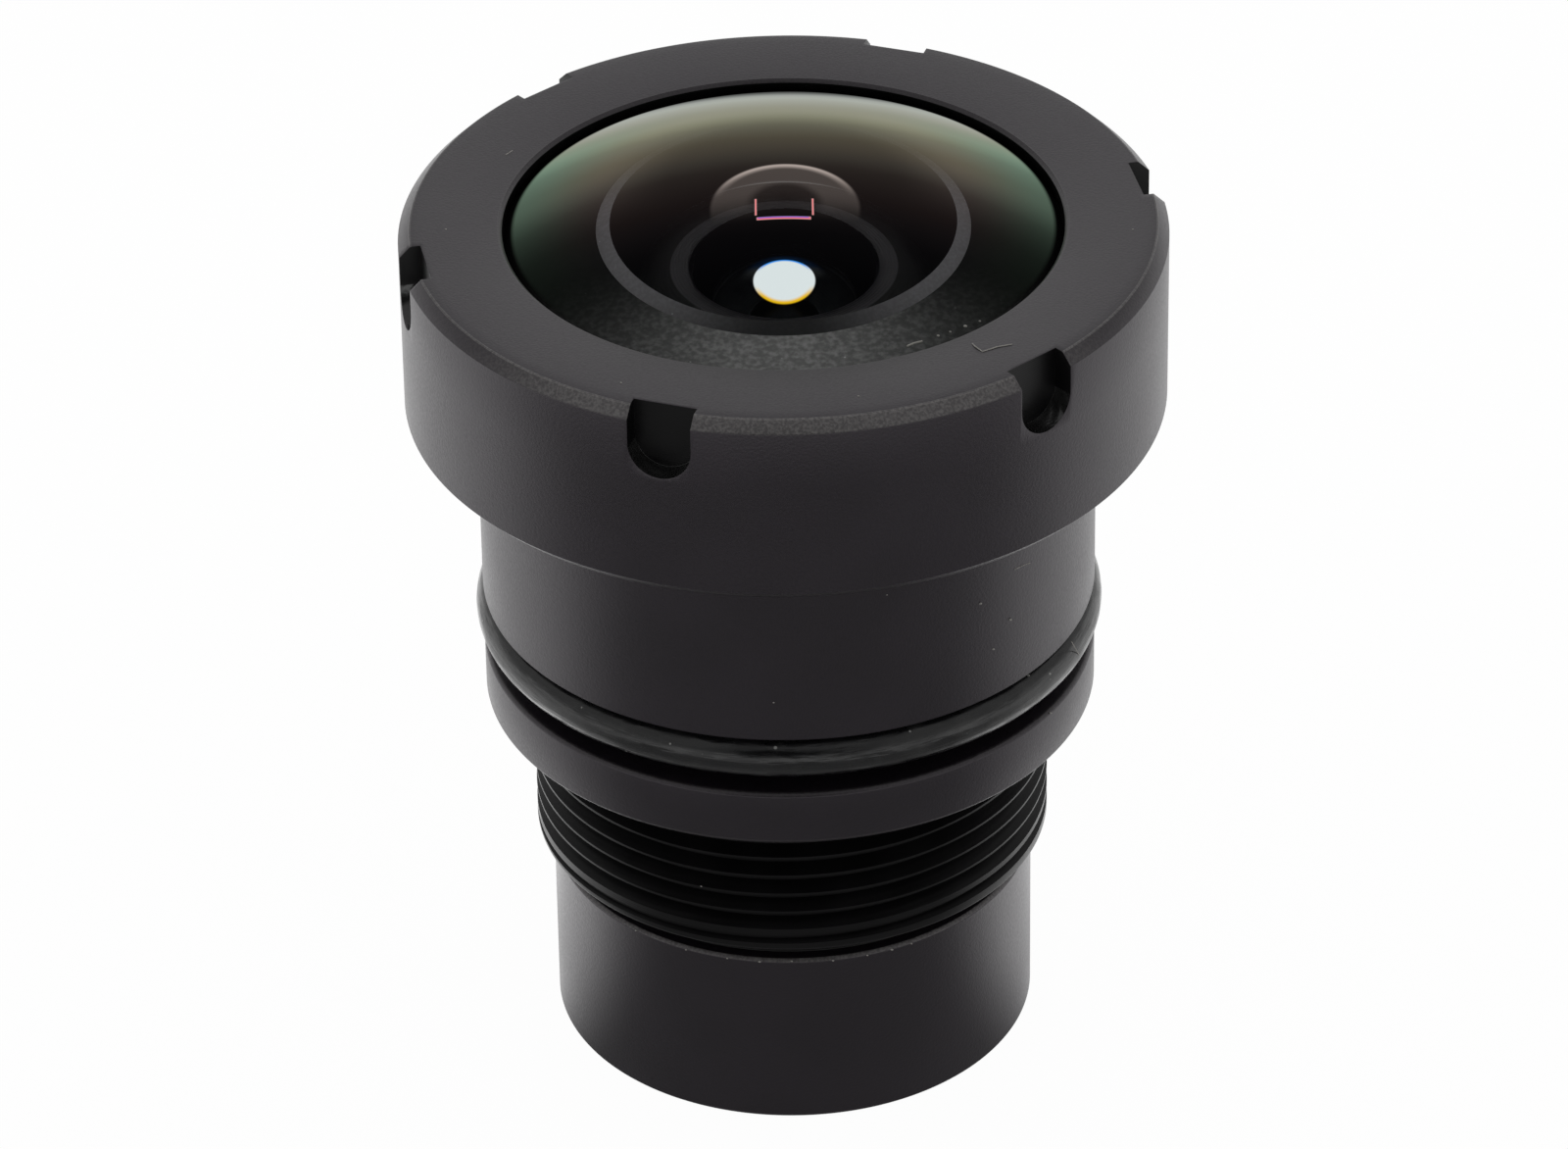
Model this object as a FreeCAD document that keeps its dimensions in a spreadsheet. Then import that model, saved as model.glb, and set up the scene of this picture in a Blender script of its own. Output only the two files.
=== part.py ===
"""M12 x 0.5 wide-angle board camera lens, built piece by piece as it comes apart on a bench.

The optical axis is Z. The foot of the barrel stands on Z = 0 and the front glass looks up.
Sizes are in millimetres.
"""
import FreeCAD, Part
import math
import os

import Sketcher
from FreeCAD import Vector

os.makedirs("parts", exist_ok=True)
doc = FreeCAD.newDocument("board_lens")

# Driving sizes
SIZES = (
    # barrel outside, from the foot up
    ("foot_length", 4.5, "foot to the thread relief"),
    ("foot_step", 0.375, "thread's crest to the plain lower barrel"),
    ("foot_chamfer", 0.08, "edges of the lower barrel"),
    ("relief_depth", 0.335, "run-out groove under the thread"),
    ("relief_width", 0.5, "run-out groove under the thread"),
    ("thread_dia", 11.92, "crest of the M12 x 0.5 thread"),
    ("thread_length", 3.7, "relief to the flange"),
    ("thread_chamfer", 0.08, "lead at the thread's first turn"),
    ("flange_height", 1.4, "flange that stops the holder"),
    ("flange_chamfer", 0.14, "both rims of the flange"),
    ("gland_depth", 0.84, "outer O-ring groove"),
    ("gland_width", 1.44, "outer O-ring groove"),
    ("ring_cord", 1.0, "cord of the outer O-ring"),
    ("ring_play", 0.06, "outer O-ring to the upper wall of its groove"),
    ("barrel_dia", 14.08, "upper barrel and flange"),
    ("barrel_length", 4.75, "O-ring groove to the front ring"),
    ("barrel_chamfer", 0.05, "lower rim of the upper barrel"),
    ("neck_step", 0.05, "upper barrel to the neck's thread"),
    ("seal_cord", 0.7, "cord of the front glass's seal"),
    ("seal_play", 0.1, "room under that seal"),
    # barrel inside
    ("web_reach", 1.55, "web between the two groups, in from the middle bore"),
    ("web_height", 0.5, "web between the two groups"),
    # front retaining ring
    ("head_wall", 1.66, "outside to the neck's thread"),
    ("head_height", 4.6, "outside"),
    ("head_top_chamfer", 0.26, "outer rim at the front face"),
    ("head_low_chamfer", 0.25, "outer rim at the back"),
    ("cap_lead", 0.1, "lead at the mouth of the ring's thread"),
    ("cap_step", 0.125, "neck's thread to the seat of the front glass"),
    ("lip_reach", 0.54, "lip over the front glass's edge"),
    ("lip_thickness", 0.45, "lip over the front glass's edge"),
    ("opening_chamfer", 0.08, "front edge of the lip"),
    ("notch_count", 6, "spanner notches"),
    ("notch_width", 1.45, "spanner notch"),
    ("notch_reach", 1.6, "front face to the round bottom of a notch"),
    ("notch_depth", 0.52, "rim to the flat inner wall of a notch"),
    # clearances
    ("slip", 0.015, "gap all round a glass or ring in its bore"),
    ("thread_gap", 0.01, "gap all round between engaged threads"),
    # first glass
    ("rim_gap", 0.18, "lip to dome, over the blackened bevel"),
    ("first_bevel", 0.24, "height of the blackened bevel"),
    ("first_dome", 1.41, "rise of the dome"),
    ("first_edge", 1.03, "edge, land to land"),
    ("first_hollow", 1.5, "depth of the hollow over its bevel"),
    ("first_rear_land", 1.1, "front bore to the hollow"),
    ("first_rear_bevel", 0.25, "ground bevel at the hollow's rim"),
    # ring between the first two glasses
    ("front_ring_height", 0.92, "first glass to second glass"),
    ("front_ring_wall", 0.6, "upper wall of the ring"),
    ("front_ring_floor", 0.25, "floor of the ring"),
    ("front_ring_cone", 0.45, "cone of the floor, beside the second dome"),
    # second glass
    ("second_land_width", 2.05, "bore to dome"),
    ("second_dome", 1.2, "rise of the dome"),
    ("second_edge", 1.2, "edge, land to land"),
    ("second_hollow", 1.08, "depth of the hollow"),
    ("second_inset", 0.65, "dome's rim to the hollow's rim, along a radius"),
    # middle group
    ("baffle_thickness", 0.06, "blackened foil"),
    ("front_baffle_width", 1.25, "foil under the second glass"),
    ("second_ring_width", 1.15, "ring under that foil"),
    ("second_ring_height", 0.5, "ring under that foil"),
    ("third_land_width", 1.25, "bore to the clear face"),
    ("third_front", 0.44, "rise of the domed front"),
    ("third_edge", 1.9, "edge, land to land"),
    ("third_rear", 0.38, "rise of the domed back"),
    ("stop_thickness", 0.1, "floor of the stop"),
    ("stop_dia", 1.8, "aperture"),
    ("stop_wall", 0.95, "wall of the stop's cup"),
    ("stop_height", 0.6, "stop's cup"),
    # rear group
    ("fourth_inset", 0.1, "web's hole to the clear face"),
    ("fourth_front", 0.26, "rise of the domed front"),
    ("fourth_edge", 1.6, "edge, land to land"),
    ("fourth_rear", 0.33, "rise of the domed back"),
    ("third_ring_width", 1.25, "ring between the fourth glass and the doublet"),
    ("third_ring_height", 1.1, "ring between the fourth glass and the doublet"),
    ("doublet_land_width", 1.3, "bore to the clear face"),
    ("fifth_front", 0.43, "rise of the domed front"),
    ("fifth_edge", 1.0, "edge, land to cemented face"),
    ("cemented", 0.82, "rise of the cemented face, domed to the rear"),
    ("sixth_edge", 2.5, "edge, cemented face to land"),
    ("sixth_rear", 0.38, "depth of the hollow back"),
    ("rear_baffle_width", 1.35, "foil behind the doublet"),
    ("fourth_ring_width", 1.1, "ring behind that foil"),
    ("fourth_ring_height", 1.2, "ring behind that foil"),
    ("seventh_land_width", 1.2, "bore to the clear face"),
    ("seventh_front", 0.67, "rise of the domed front"),
    ("seventh_edge", 1.5, "edge, land to land"),
    ("seventh_rear", 0.38, "depth of the hollow back"),
    # rear end
    ("rear_ring_width", 1.3, "rear retaining ring"),
    ("rear_ring_height", 1.6, "rear retaining ring"),
    ("rear_ring_flare", 0.5, "flare of its hole to the rear"),
    ("slot_width", 0.8, "spanner slots of the rear retaining ring"),
    ("slot_depth", 0.6, "spanner slots of the rear retaining ring"),
    ("filter_thickness", 0.55, "infrared filter"),
    ("filter_set_back", 0.1, "foot to the filter"),
    ("filter_chamfer", 0.08, "edges of the filter"),
)

# Levels over the foot and fitted diameters, each worked out from the driving sizes
LEVELS = (
    ("relief_top", "foot_length + relief_width"),
    ("flange_low", "relief_top + thread_length"),
    ("flange_top", "flange_low + flange_height"),
    ("gland_top", "flange_top + gland_width"),
    ("head_low", "gland_top + barrel_length"),
    ("head_top", "head_low + head_height"),
    ("first_land", "head_top - lip_thickness"),
    ("first_seat", "first_land - first_edge"),
    ("neck_top", "first_seat - seal_cord - seal_play"),
    ("second_land", "first_seat - front_ring_height"),
    ("front_seat", "second_land - second_edge"),
    ("front_baffle_low", "front_seat - baffle_thickness"),
    ("third_land", "front_baffle_low - second_ring_height"),
    ("third_seat", "third_land - third_edge"),
    ("web_top", "third_seat - stop_height"),
    ("web_low", "web_top - web_height"),
    ("fourth_seat", "web_low - fourth_edge"),
    ("fifth_land", "fourth_seat - third_ring_height"),
    ("cement_land", "fifth_land - fifth_edge"),
    ("sixth_seat", "cement_land - sixth_edge"),
    ("rear_baffle_low", "sixth_seat - baffle_thickness"),
    ("seventh_land", "rear_baffle_low - fourth_ring_height"),
    ("seventh_seat", "seventh_land - seventh_edge"),
    ("ring_bore_top", "seventh_seat + seventh_edge / 4"),
    ("rear_ring_low", "seventh_seat - rear_ring_height"),
    ("filter_recess", "filter_set_back + filter_thickness"),
    ("gland_floor_dia", "barrel_dia - 2 * gland_depth"),
    ("neck_dia", "barrel_dia - 2 * neck_step"),
    ("cap_bore_dia", "neck_dia + 2 * thread_gap"),
    ("head_dia", "neck_dia + 2 * head_wall"),
    ("seal_bore_dia", "neck_dia - 2 * cap_step"),
    ("first_glass_dia", "seal_bore_dia - 2 * slip"),
    ("opening_dia", "first_glass_dia - 2 * lip_reach"),
    ("first_clear_dia", "opening_dia - 2 * rim_gap"),
    ("spigot_dia", "seal_bore_dia - 2 * seal_cord - 2 * slip"),
    ("front_bore_dia", "barrel_dia * 0.66"),
    ("front_glass_dia", "front_bore_dia - 2 * slip"),
    ("first_hollow_dia", "front_bore_dia - 2 * first_rear_land"),
    ("second_clear_dia", "front_bore_dia - 2 * second_land_width"),
    ("second_hollow_dia", "second_clear_dia - 2 * second_inset"),
    ("middle_bore_dia", "barrel_dia * 0.476"),
    ("middle_glass_dia", "middle_bore_dia - 2 * slip"),
    ("third_clear_dia", "middle_bore_dia - 2 * third_land_width"),
    ("web_dia", "middle_bore_dia - 2 * web_reach"),
    ("fourth_clear_dia", "web_dia - 2 * fourth_inset"),
    ("foot_dia", "thread_dia - 2 * foot_step"),
    ("relief_dia", "foot_dia - 2 * relief_depth"),
    ("filter_bore_dia", "thread_dia * 0.8"),
    ("ring_bore_dia", "thread_dia * 0.72"),
    ("rear_bore_dia", "thread_dia * 0.64"),
    ("rear_glass_dia", "rear_bore_dia - 2 * slip"),
    ("doublet_clear_dia", "rear_bore_dia - 2 * doublet_land_width"),
    ("seventh_clear_dia", "rear_bore_dia - 2 * seventh_land_width"),
    ("rear_ring_dia", "ring_bore_dia - 2 * rear_ring_width"),
)

sheet = doc.addObject("Spreadsheet::Sheet", "Sizes")
for row, (alias, value, note) in enumerate(SIZES, start=1):
    sheet.set("A%d" % row, alias.replace("_", " "))
    sheet.set("B%d" % row, str(value))
    sheet.set("C%d" % row, note)
    sheet.setAlias("B%d" % row, alias)
for row, (alias, formula) in enumerate(LEVELS, start=1):
    sheet.set("E%d" % row, alias.replace("_", " "))
    sheet.set("F%d" % row, "=" + formula)
    sheet.setAlias("F%d" % row, alias)
doc.recompute()


def bound(expression):
    """The same expression with every alias looked up in the sheet."""
    words, word = [], ""
    for mark in expression + " ":
        if mark.isalnum() or mark == "_":
            word += mark
        else:
            known = any(word == name for name, *_ in SIZES + LEVELS)
            words.append(("Sizes." + word if known else word) + mark)
            word = ""
    return "".join(words).strip()


def amount(expression):
    """The value of an expression, in millimetres."""
    return float(sheet.evalExpression(bound(expression)))


def origin_plane(body, role):
    """One of the body's own origin planes or axes."""
    return next(item for item in body.Origin.OriginFeatures if item.Role == role)


def new_body(label):
    """An empty body whose label names the piece and its file."""
    body = doc.addObject("PartDesign::Body", label)
    body.Label = label
    return body


def new_sketch(body, name, role="XZ_Plane", offset=None):
    """A sketch on one of the body's origin planes, moved out by an expression if one is given."""
    sketch = body.newObject("Sketcher::SketchObject", body.Label + "_" + name)
    sketch.AttachmentSupport = [(origin_plane(body, role), "")]
    sketch.MapMode = "FlatFace"
    if offset:
        sketch.setExpression("AttachmentOffset.Base.z", bound(offset))
    return sketch


def fix_point(sketch, index, end, across, along):
    """Hold one end of an edge at (across, along), each an expression measured from the origin."""
    for axis, kind, expression in ((-2, "DistanceX", across), (-1, "DistanceY", along)):
        value = amount(expression)
        if abs(value) < 1e-9:
            sketch.addConstraint(Sketcher.Constraint("PointOnObject", index, end, axis))
            continue
        row = sketch.addConstraint(Sketcher.Constraint(kind, -1, 1, index, end, value))
        sketch.setExpression("Constraints[%d]" % row, bound(expression))


def ball_face(apex, rim):
    """The arc from the apex, on the axis, to the rim, with its centre on the axis too."""
    rise = rim.y - apex.y
    centre = Vector(0, apex.y + (rim.x ** 2 + rise ** 2) / (2 * rise), 0)
    turn = sorted(math.atan2(p.y - centre.y, p.x) for p in (apex, rim))
    return Part.ArcOfCircle(Part.Circle(centre, Vector(0, 0, 1), abs(centre.y - apex.y)), *turn)


def draw_outline(sketch, corners, arcs=()):
    """Draw a closed outline whose corners are pairs of expressions.

    arcs lists, by the corner they start at, the edges that are the faces of a ball: each runs
    between the axis and a rim.
    """
    places = [Vector(amount(x), amount(y), 0) for x, y in corners]
    count = len(corners)
    starts, ends = [], []
    for i, here in enumerate(places):
        there = places[(i + 1) % count]
        forward = True
        if i in arcs:
            apex, rim = (here, there) if here.x < there.x else (there, here)
            sketch.addGeometry(ball_face(apex, rim), False)
            forward = (rim.y > apex.y) == (apex is here)
            sketch.addConstraint(Sketcher.Constraint("PointOnObject", i, 3, -2))
        else:
            sketch.addGeometry(Part.LineSegment(here, there), False)
        starts.append(1 if forward else 2)
        ends.append(2 if forward else 1)
    for i in range(count):
        after = (i + 1) % count
        sketch.addConstraint(Sketcher.Constraint("Coincident", i, ends[i], after, starts[after]))
    for i, (across, along) in enumerate(corners):
        fix_point(sketch, i, starts[i], across, along)


def turn_solid(body, name, corners, arcs=()):
    """Add the ring or disc that the outline sweeps about the axis."""
    sketch = new_sketch(body, name + "_section")
    draw_outline(sketch, corners, arcs)
    turned = body.newObject("PartDesign::Revolution", body.Label + "_" + name)
    turned.Profile = sketch
    turned.ReferenceAxis = (sketch, ["V_Axis"])
    turned.Angle = 360
    return turned


def turn_away(body, name, corners):
    """Cut away the ring or disc that the outline sweeps about the axis."""
    sketch = new_sketch(body, name + "_section")
    draw_outline(sketch, corners)
    groove = body.newObject("PartDesign::Groove", body.Label + "_" + name)
    groove.Profile = sketch
    groove.ReferenceAxis = (sketch, ["V_Axis"])
    groove.Angle = 360
    return groove


def cut_slot(body, name, sketch, reach, reverse):
    """Cut a sketch's outline into the body by the depth that an expression gives."""
    pocket = body.newObject("PartDesign::Pocket", body.Label + "_" + name)
    pocket.Profile = sketch
    pocket.Type = 0
    pocket.Length = amount(reach)
    pocket.setExpression("Length", bound(reach))
    pocket.Reversed = reverse
    return pocket


def ring_piece(label, outer_dia, width, low, top):
    """A plain ring of the given outer diameter and radial width between two levels."""
    body = new_body(label)
    outer = outer_dia + " / 2"
    hole = outer + " - " + width
    turn_solid(body, "ring", [(hole, low), (outer, low), (outer, top), (hole, top)])
    return body


def cord_ring(label, centre_r, cord, level):
    """A ring of round cord about the axis."""
    body = new_body(label)
    sketch = new_sketch(body, "section")
    middle = Vector(amount(centre_r), amount(level), 0)
    sketch.addGeometry(Part.Circle(middle, Vector(0, 0, 1), amount(cord) / 2), False)
    fix_point(sketch, 0, 3, centre_r, level)
    row = sketch.addConstraint(Sketcher.Constraint("Radius", 0, amount(cord) / 2))
    sketch.setExpression("Constraints[%d]" % row, bound(cord + " / 2"))
    turned = body.newObject("PartDesign::Revolution", label + "_cord")
    turned.Profile = sketch
    turned.ReferenceAxis = (sketch, ["V_Axis"])
    turned.Angle = 360
    return body


def glass(label, outer_dia, low, top, front, rear):
    """A glass with flat lands at two levels, round the ball faces at its front and rear.

    front and rear each give a clear diameter and a rise, measured up: a dome's front rises and
    its rear falls.
    """
    (front_clear, front_rise), (rear_clear, rear_rise) = front, rear
    body = new_body(label)
    turn_solid(body, "lens", [
        ("0", top + front_rise), (front_clear + " / 2", top), (outer_dia + " / 2", top),
        (outer_dia + " / 2", low), (rear_clear + " / 2", low), ("0", low + rear_rise),
    ], arcs=(0, 4))
    return body


# Barrel: one turning, with its seal groove, thread relief and stepped bores
def make_barrel():
    body = new_body("lens_barrel")
    turn_solid(body, "outside", [
        ("0", "0"),
        ("foot_dia / 2 - foot_chamfer", "0"), ("foot_dia / 2", "foot_chamfer"),
        ("foot_dia / 2", "relief_top"), ("thread_dia / 2 - thread_chamfer", "relief_top"),
        ("thread_dia / 2", "relief_top + thread_chamfer"), ("thread_dia / 2", "flange_low"),
        ("barrel_dia / 2 - flange_chamfer", "flange_low"),
        ("barrel_dia / 2", "flange_low + flange_chamfer"),
        ("barrel_dia / 2", "flange_top - flange_chamfer / 2"),
        ("barrel_dia / 2 - flange_chamfer / 2", "flange_top"),
        ("gland_floor_dia / 2", "flange_top"), ("gland_floor_dia / 2", "gland_top"),
        ("barrel_dia / 2 - barrel_chamfer", "gland_top"),
        ("barrel_dia / 2", "gland_top + barrel_chamfer"), ("barrel_dia / 2", "head_low"),
        ("neck_dia / 2", "head_low"), ("neck_dia / 2", "neck_top"),
        ("spigot_dia / 2", "neck_top"), ("spigot_dia / 2", "first_seat"), ("0", "first_seat"),
    ])
    turn_away(body, "relief", [
        ("relief_dia / 2", "foot_length"), ("relief_dia / 2", "relief_top"),
        ("foot_dia / 2 + foot_chamfer", "relief_top"),
        ("foot_dia / 2 + foot_chamfer", "foot_length - 2 * foot_chamfer"),
        ("foot_dia / 2 - foot_chamfer", "foot_length"),
    ])
    turn_away(body, "front_bores", [
        ("0", "web_top"), ("middle_bore_dia / 2", "web_top"), ("middle_bore_dia / 2", "front_seat"),
        ("front_bore_dia / 2", "front_seat"), ("front_bore_dia / 2", "first_seat"),
        ("0", "first_seat"),
    ])
    turn_away(body, "rear_bores", [
        ("0", "0"), ("filter_bore_dia / 2", "0"), ("filter_bore_dia / 2", "filter_recess"),
        ("ring_bore_dia / 2", "filter_recess"), ("ring_bore_dia / 2", "ring_bore_top"),
        ("rear_bore_dia / 2", "ring_bore_top"), ("rear_bore_dia / 2", "web_low"), ("0", "web_low"),
    ])
    turn_away(body, "web_hole", [
        ("0", "web_low"), ("web_dia / 2", "web_low"), ("web_dia / 2 + web_height / 2", "web_top"),
        ("0", "web_top"),
    ])
    return body


# Front retaining ring: lip over the front glass, thread for the barrel's neck, six spanner notches
def make_front_ring():
    body = new_body("front_retaining_ring")
    turn_solid(body, "ring", [
        ("cap_bore_dia / 2 + cap_lead", "head_low"),
        ("head_dia / 2 - head_low_chamfer", "head_low"),
        ("head_dia / 2", "head_low + head_low_chamfer"),
        ("head_dia / 2", "head_top - head_top_chamfer"),
        ("head_dia / 2 - head_top_chamfer", "head_top"),
        ("opening_dia / 2 + opening_chamfer", "head_top"),
        ("opening_dia / 2", "head_top - opening_chamfer"), ("opening_dia / 2", "first_land"),
        ("seal_bore_dia / 2", "first_land"), ("seal_bore_dia / 2", "neck_top"),
        ("cap_bore_dia / 2", "neck_top"), ("cap_bore_dia / 2", "head_low + cap_lead"),
    ])
    sketch = new_sketch(body, "notch_outline", offset="head_dia / 2 - notch_depth")
    half, clear = "notch_width / 2", "head_top + notch_width"
    low = "head_top - notch_reach + notch_width / 2"
    left, right = Vector(-amount(half), amount(low), 0), Vector(amount(half), amount(low), 0)
    rise = Vector(0, amount(clear) - amount(low), 0)
    edges = ((left + rise, left), (right, right + rise), (right + rise, left + rise))
    for start, end in edges:
        sketch.addGeometry(Part.LineSegment(start, end), False)
    bowl = Part.Circle(Vector(0, amount(low), 0), Vector(0, 0, 1), amount(half))
    sketch.addGeometry(Part.ArcOfCircle(bowl, math.pi, 2 * math.pi), False)
    joints = ((0, 2, 3, 1), (3, 2, 1, 1), (1, 2, 2, 1), (2, 2, 0, 1))
    for first, first_end, second, second_end in joints:
        sketch.addConstraint(
            Sketcher.Constraint("Coincident", first, first_end, second, second_end))
    for index in (0, 1):
        sketch.addConstraint(Sketcher.Constraint("Vertical", index))
    sketch.addConstraint(Sketcher.Constraint("Horizontal", 2))
    sketch.addConstraint(Sketcher.Constraint("PointOnObject", 3, 3, -2))
    sketch.addConstraint(Sketcher.Constraint("Horizontal", 3, 1, 3, 3))
    sketch.addConstraint(Sketcher.Constraint("Horizontal", 3, 2, 3, 3))
    fixed = (
        (Sketcher.Constraint("Radius", 3, amount(half)), half),
        (Sketcher.Constraint("DistanceY", -1, 1, 3, 3, amount(low)), low),
        (Sketcher.Constraint("DistanceY", -1, 1, 0, 1, amount(clear)), clear),
    )
    for constraint, expression in fixed:
        row = sketch.addConstraint(constraint)
        sketch.setExpression("Constraints[%d]" % row, bound(expression))
    notch = cut_slot(body, "notch", sketch, "notch_depth + head_top_chamfer", True)
    around = body.newObject("PartDesign::PolarPattern", "front_retaining_ring_notches")
    around.Originals = [notch]
    around.Axis = (origin_plane(body, "Z_Axis"), [""])
    around.Angle = 360
    around.Occurrences = int(amount("notch_count"))
    around.setExpression("Occurrences", bound("notch_count"))
    body.Tip = around
    return body


# First glass: a wide dome, a blackened bevel under the lip and a deep hollow with a ground rim
def make_first_glass():
    body = new_body("front_element")
    dome_edge, rim = "first_land + first_bevel", "first_seat + first_rear_bevel"
    turn_solid(body, "lens", [
        ("0", dome_edge + " + first_dome"), ("first_clear_dia / 2", dome_edge),
        ("opening_dia / 2 - slip", "first_land"),
        ("first_glass_dia / 2", "first_land"), ("first_glass_dia / 2", "first_seat"),
        ("first_hollow_dia / 2 + first_rear_bevel", "first_seat"),
        ("first_hollow_dia / 2", rim), ("0", rim + " + first_hollow"),
    ], arcs=(0, 6))
    return body


# Ring between the first two glasses: a cup whose floor opens in a cone round the second dome
def make_front_spacer():
    body = new_body("front_spacer")
    outer, inner = "front_glass_dia / 2", "front_glass_dia / 2 - front_ring_wall"
    floor = "second_land + front_ring_floor"
    turn_solid(body, "ring", [
        ("second_clear_dia / 2", "second_land"), (outer, "second_land"), (outer, "first_seat"),
        (inner, "first_seat"), (inner, floor), ("second_clear_dia / 2 + front_ring_cone", floor),
    ])
    return body


# Stop: a shallow cup on the web, with the aperture in its thin floor
def make_stop():
    body = new_body("aperture_stop")
    outer = "middle_glass_dia / 2"
    inner = outer + " - stop_wall"
    turn_solid(body, "cup", [
        ("stop_dia / 2", "web_top"), (outer, "web_top"), (outer, "third_seat"),
        (inner, "third_seat"), (inner, "web_top + stop_thickness"),
        ("stop_dia / 2", "web_top + stop_thickness"),
    ])
    return body


# Rear retaining ring: threaded outside, flared to the rear, with two spanner slots
def make_rear_ring():
    body = new_body("rear_retaining_ring")
    outer, hole = "ring_bore_dia / 2 - thread_gap", "rear_ring_dia / 2"
    turn_solid(body, "ring", [
        (hole + " + rear_ring_flare", "rear_ring_low"), (outer, "rear_ring_low"),
        (outer, "seventh_seat"), (hole, "seventh_seat"),
        (hole, "rear_ring_low + rear_ring_flare"),
    ])
    sketch = new_sketch(body, "slot_outline", "XY_Plane", "rear_ring_low")
    half, reach = amount("slot_width / 2"), amount("ring_bore_dia")
    corners = [Vector(x, y, 0) for x, y in (
        (-reach, -half), (reach, -half), (reach, half), (-reach, half))]
    for i, corner in enumerate(corners):
        sketch.addGeometry(Part.LineSegment(corner, corners[(i + 1) % 4]), False)
    for i in range(4):
        sketch.addConstraint(Sketcher.Constraint("Coincident", i, 2, (i + 1) % 4, 1))
        sketch.addConstraint(Sketcher.Constraint("Vertical" if i % 2 else "Horizontal", i))
    sketch.addConstraint(Sketcher.Constraint("Symmetric", 0, 1, 2, 1, -1, 1))
    for kind, ends, expression in (("DistanceX", (0, 1, 0, 2), "2 * ring_bore_dia"),
                                   ("DistanceY", (1, 1, 1, 2), "slot_width")):
        row = sketch.addConstraint(Sketcher.Constraint(kind, *ends, amount(expression)))
        sketch.setExpression("Constraints[%d]" % row, bound(expression))
    body.Tip = cut_slot(body, "slots", sketch, "slot_depth", True)
    return body


# Filter: a bevelled glass disc in the foot's recess
def make_filter():
    body = new_body("infrared_filter")
    outer, low = "filter_bore_dia / 2 - slip", "filter_recess - filter_thickness"
    turn_solid(body, "disc", [
        ("0", low), (outer + " - filter_chamfer", low), (outer, low + " + filter_chamfer"),
        (outer, "filter_recess - filter_chamfer"), (outer + " - filter_chamfer", "filter_recess"),
        ("0", "filter_recess"),
    ])
    return body


bodies = [
    make_barrel(),
    make_front_ring(),
    make_first_glass(),
    cord_ring("front_seal", "spigot_dia / 2 + seal_cord / 2", "seal_cord",
              "first_seat - seal_cord / 2"),
    make_front_spacer(),
    glass("second_element", "front_glass_dia", "front_seat", "second_land",
          ("second_clear_dia", " + second_dome"), ("second_hollow_dia", " + second_hollow")),
    ring_piece("front_light_baffle", "middle_glass_dia", "front_baffle_width",
               "front_baffle_low", "front_seat"),
    ring_piece("second_spacer", "middle_glass_dia", "second_ring_width",
               "third_land", "front_baffle_low"),
    glass("third_element", "middle_glass_dia", "third_seat", "third_land",
          ("third_clear_dia", " + third_front"), ("third_clear_dia", " - third_rear")),
    make_stop(),
    glass("fourth_element", "rear_glass_dia", "fourth_seat", "web_low",
          ("fourth_clear_dia", " + fourth_front"), ("fourth_clear_dia", " - fourth_rear")),
    ring_piece("third_spacer", "rear_glass_dia", "third_ring_width",
               "fifth_land", "fourth_seat"),
    glass("fifth_element", "rear_glass_dia", "cement_land", "fifth_land",
          ("doublet_clear_dia", " + fifth_front"), ("doublet_clear_dia", " - cemented")),
    glass("sixth_element", "rear_glass_dia", "sixth_seat", "cement_land",
          ("doublet_clear_dia", " - cemented"), ("doublet_clear_dia", " + sixth_rear")),
    ring_piece("rear_light_baffle", "rear_glass_dia", "rear_baffle_width",
               "rear_baffle_low", "sixth_seat"),
    ring_piece("fourth_spacer", "rear_glass_dia", "fourth_ring_width",
               "seventh_land", "rear_baffle_low"),
    glass("seventh_element", "rear_glass_dia", "seventh_seat", "seventh_land",
          ("seventh_clear_dia", " + seventh_front"), ("seventh_clear_dia", " + seventh_rear")),
    make_rear_ring(),
    make_filter(),
    cord_ring("barrel_o_ring", "gland_floor_dia / 2 + ring_cord / 2", "ring_cord",
              "gland_top - ring_play - ring_cord / 2"),
]
doc.recompute()

# Nothing is written unless every feature, and the solid it leaves, is sound
for item in doc.Objects:
    bad = [state for state in item.State if state in ("Invalid", "Error")]
    if bad:
        raise RuntimeError("%s did not build: %s" % (item.Name, ", ".join(bad)))
for body in bodies:
    shape = body.Shape
    if shape.isNull() or not shape.isValid() or len(shape.Solids) != 1:
        raise RuntimeError("%s is not one sound solid" % body.Label)
    before = 0.0
    for feature in body.Group:
        if feature.TypeId in ("PartDesign::Groove", "PartDesign::Pocket",
                              "PartDesign::PolarPattern"):
            if feature.Shape.Volume >= before - 1e-6:
                raise RuntimeError("%s cuts nothing" % feature.Name)
        if hasattr(feature, "Shape") and feature.Shape.Solids:
            before = feature.Shape.Volume
    shape.exportStep(os.path.join("parts", body.Label + ".step"))
    box = shape.BoundBox
    print("%-22s volume %8.3f  z %7.3f to %7.3f" % (body.Label, shape.Volume, box.ZMin, box.ZMax))
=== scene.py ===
"""Looks of an M12 x 0.5 wide-angle board camera lens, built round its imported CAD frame.

The optical axis is Z, the foot of the barrel stands on Z = 0, and one spanner notch of the front
ring points along -Y. Sizes are in millimetres, and become metres where a mesh is made.
"""

import logging
import math
from dataclasses import dataclass
from enum import Enum
from typing import Callable, Sequence

import bpy
from bpy.types import Material, Node, NodeSocket, Object, World
from mathutils import Matrix, Vector


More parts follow.
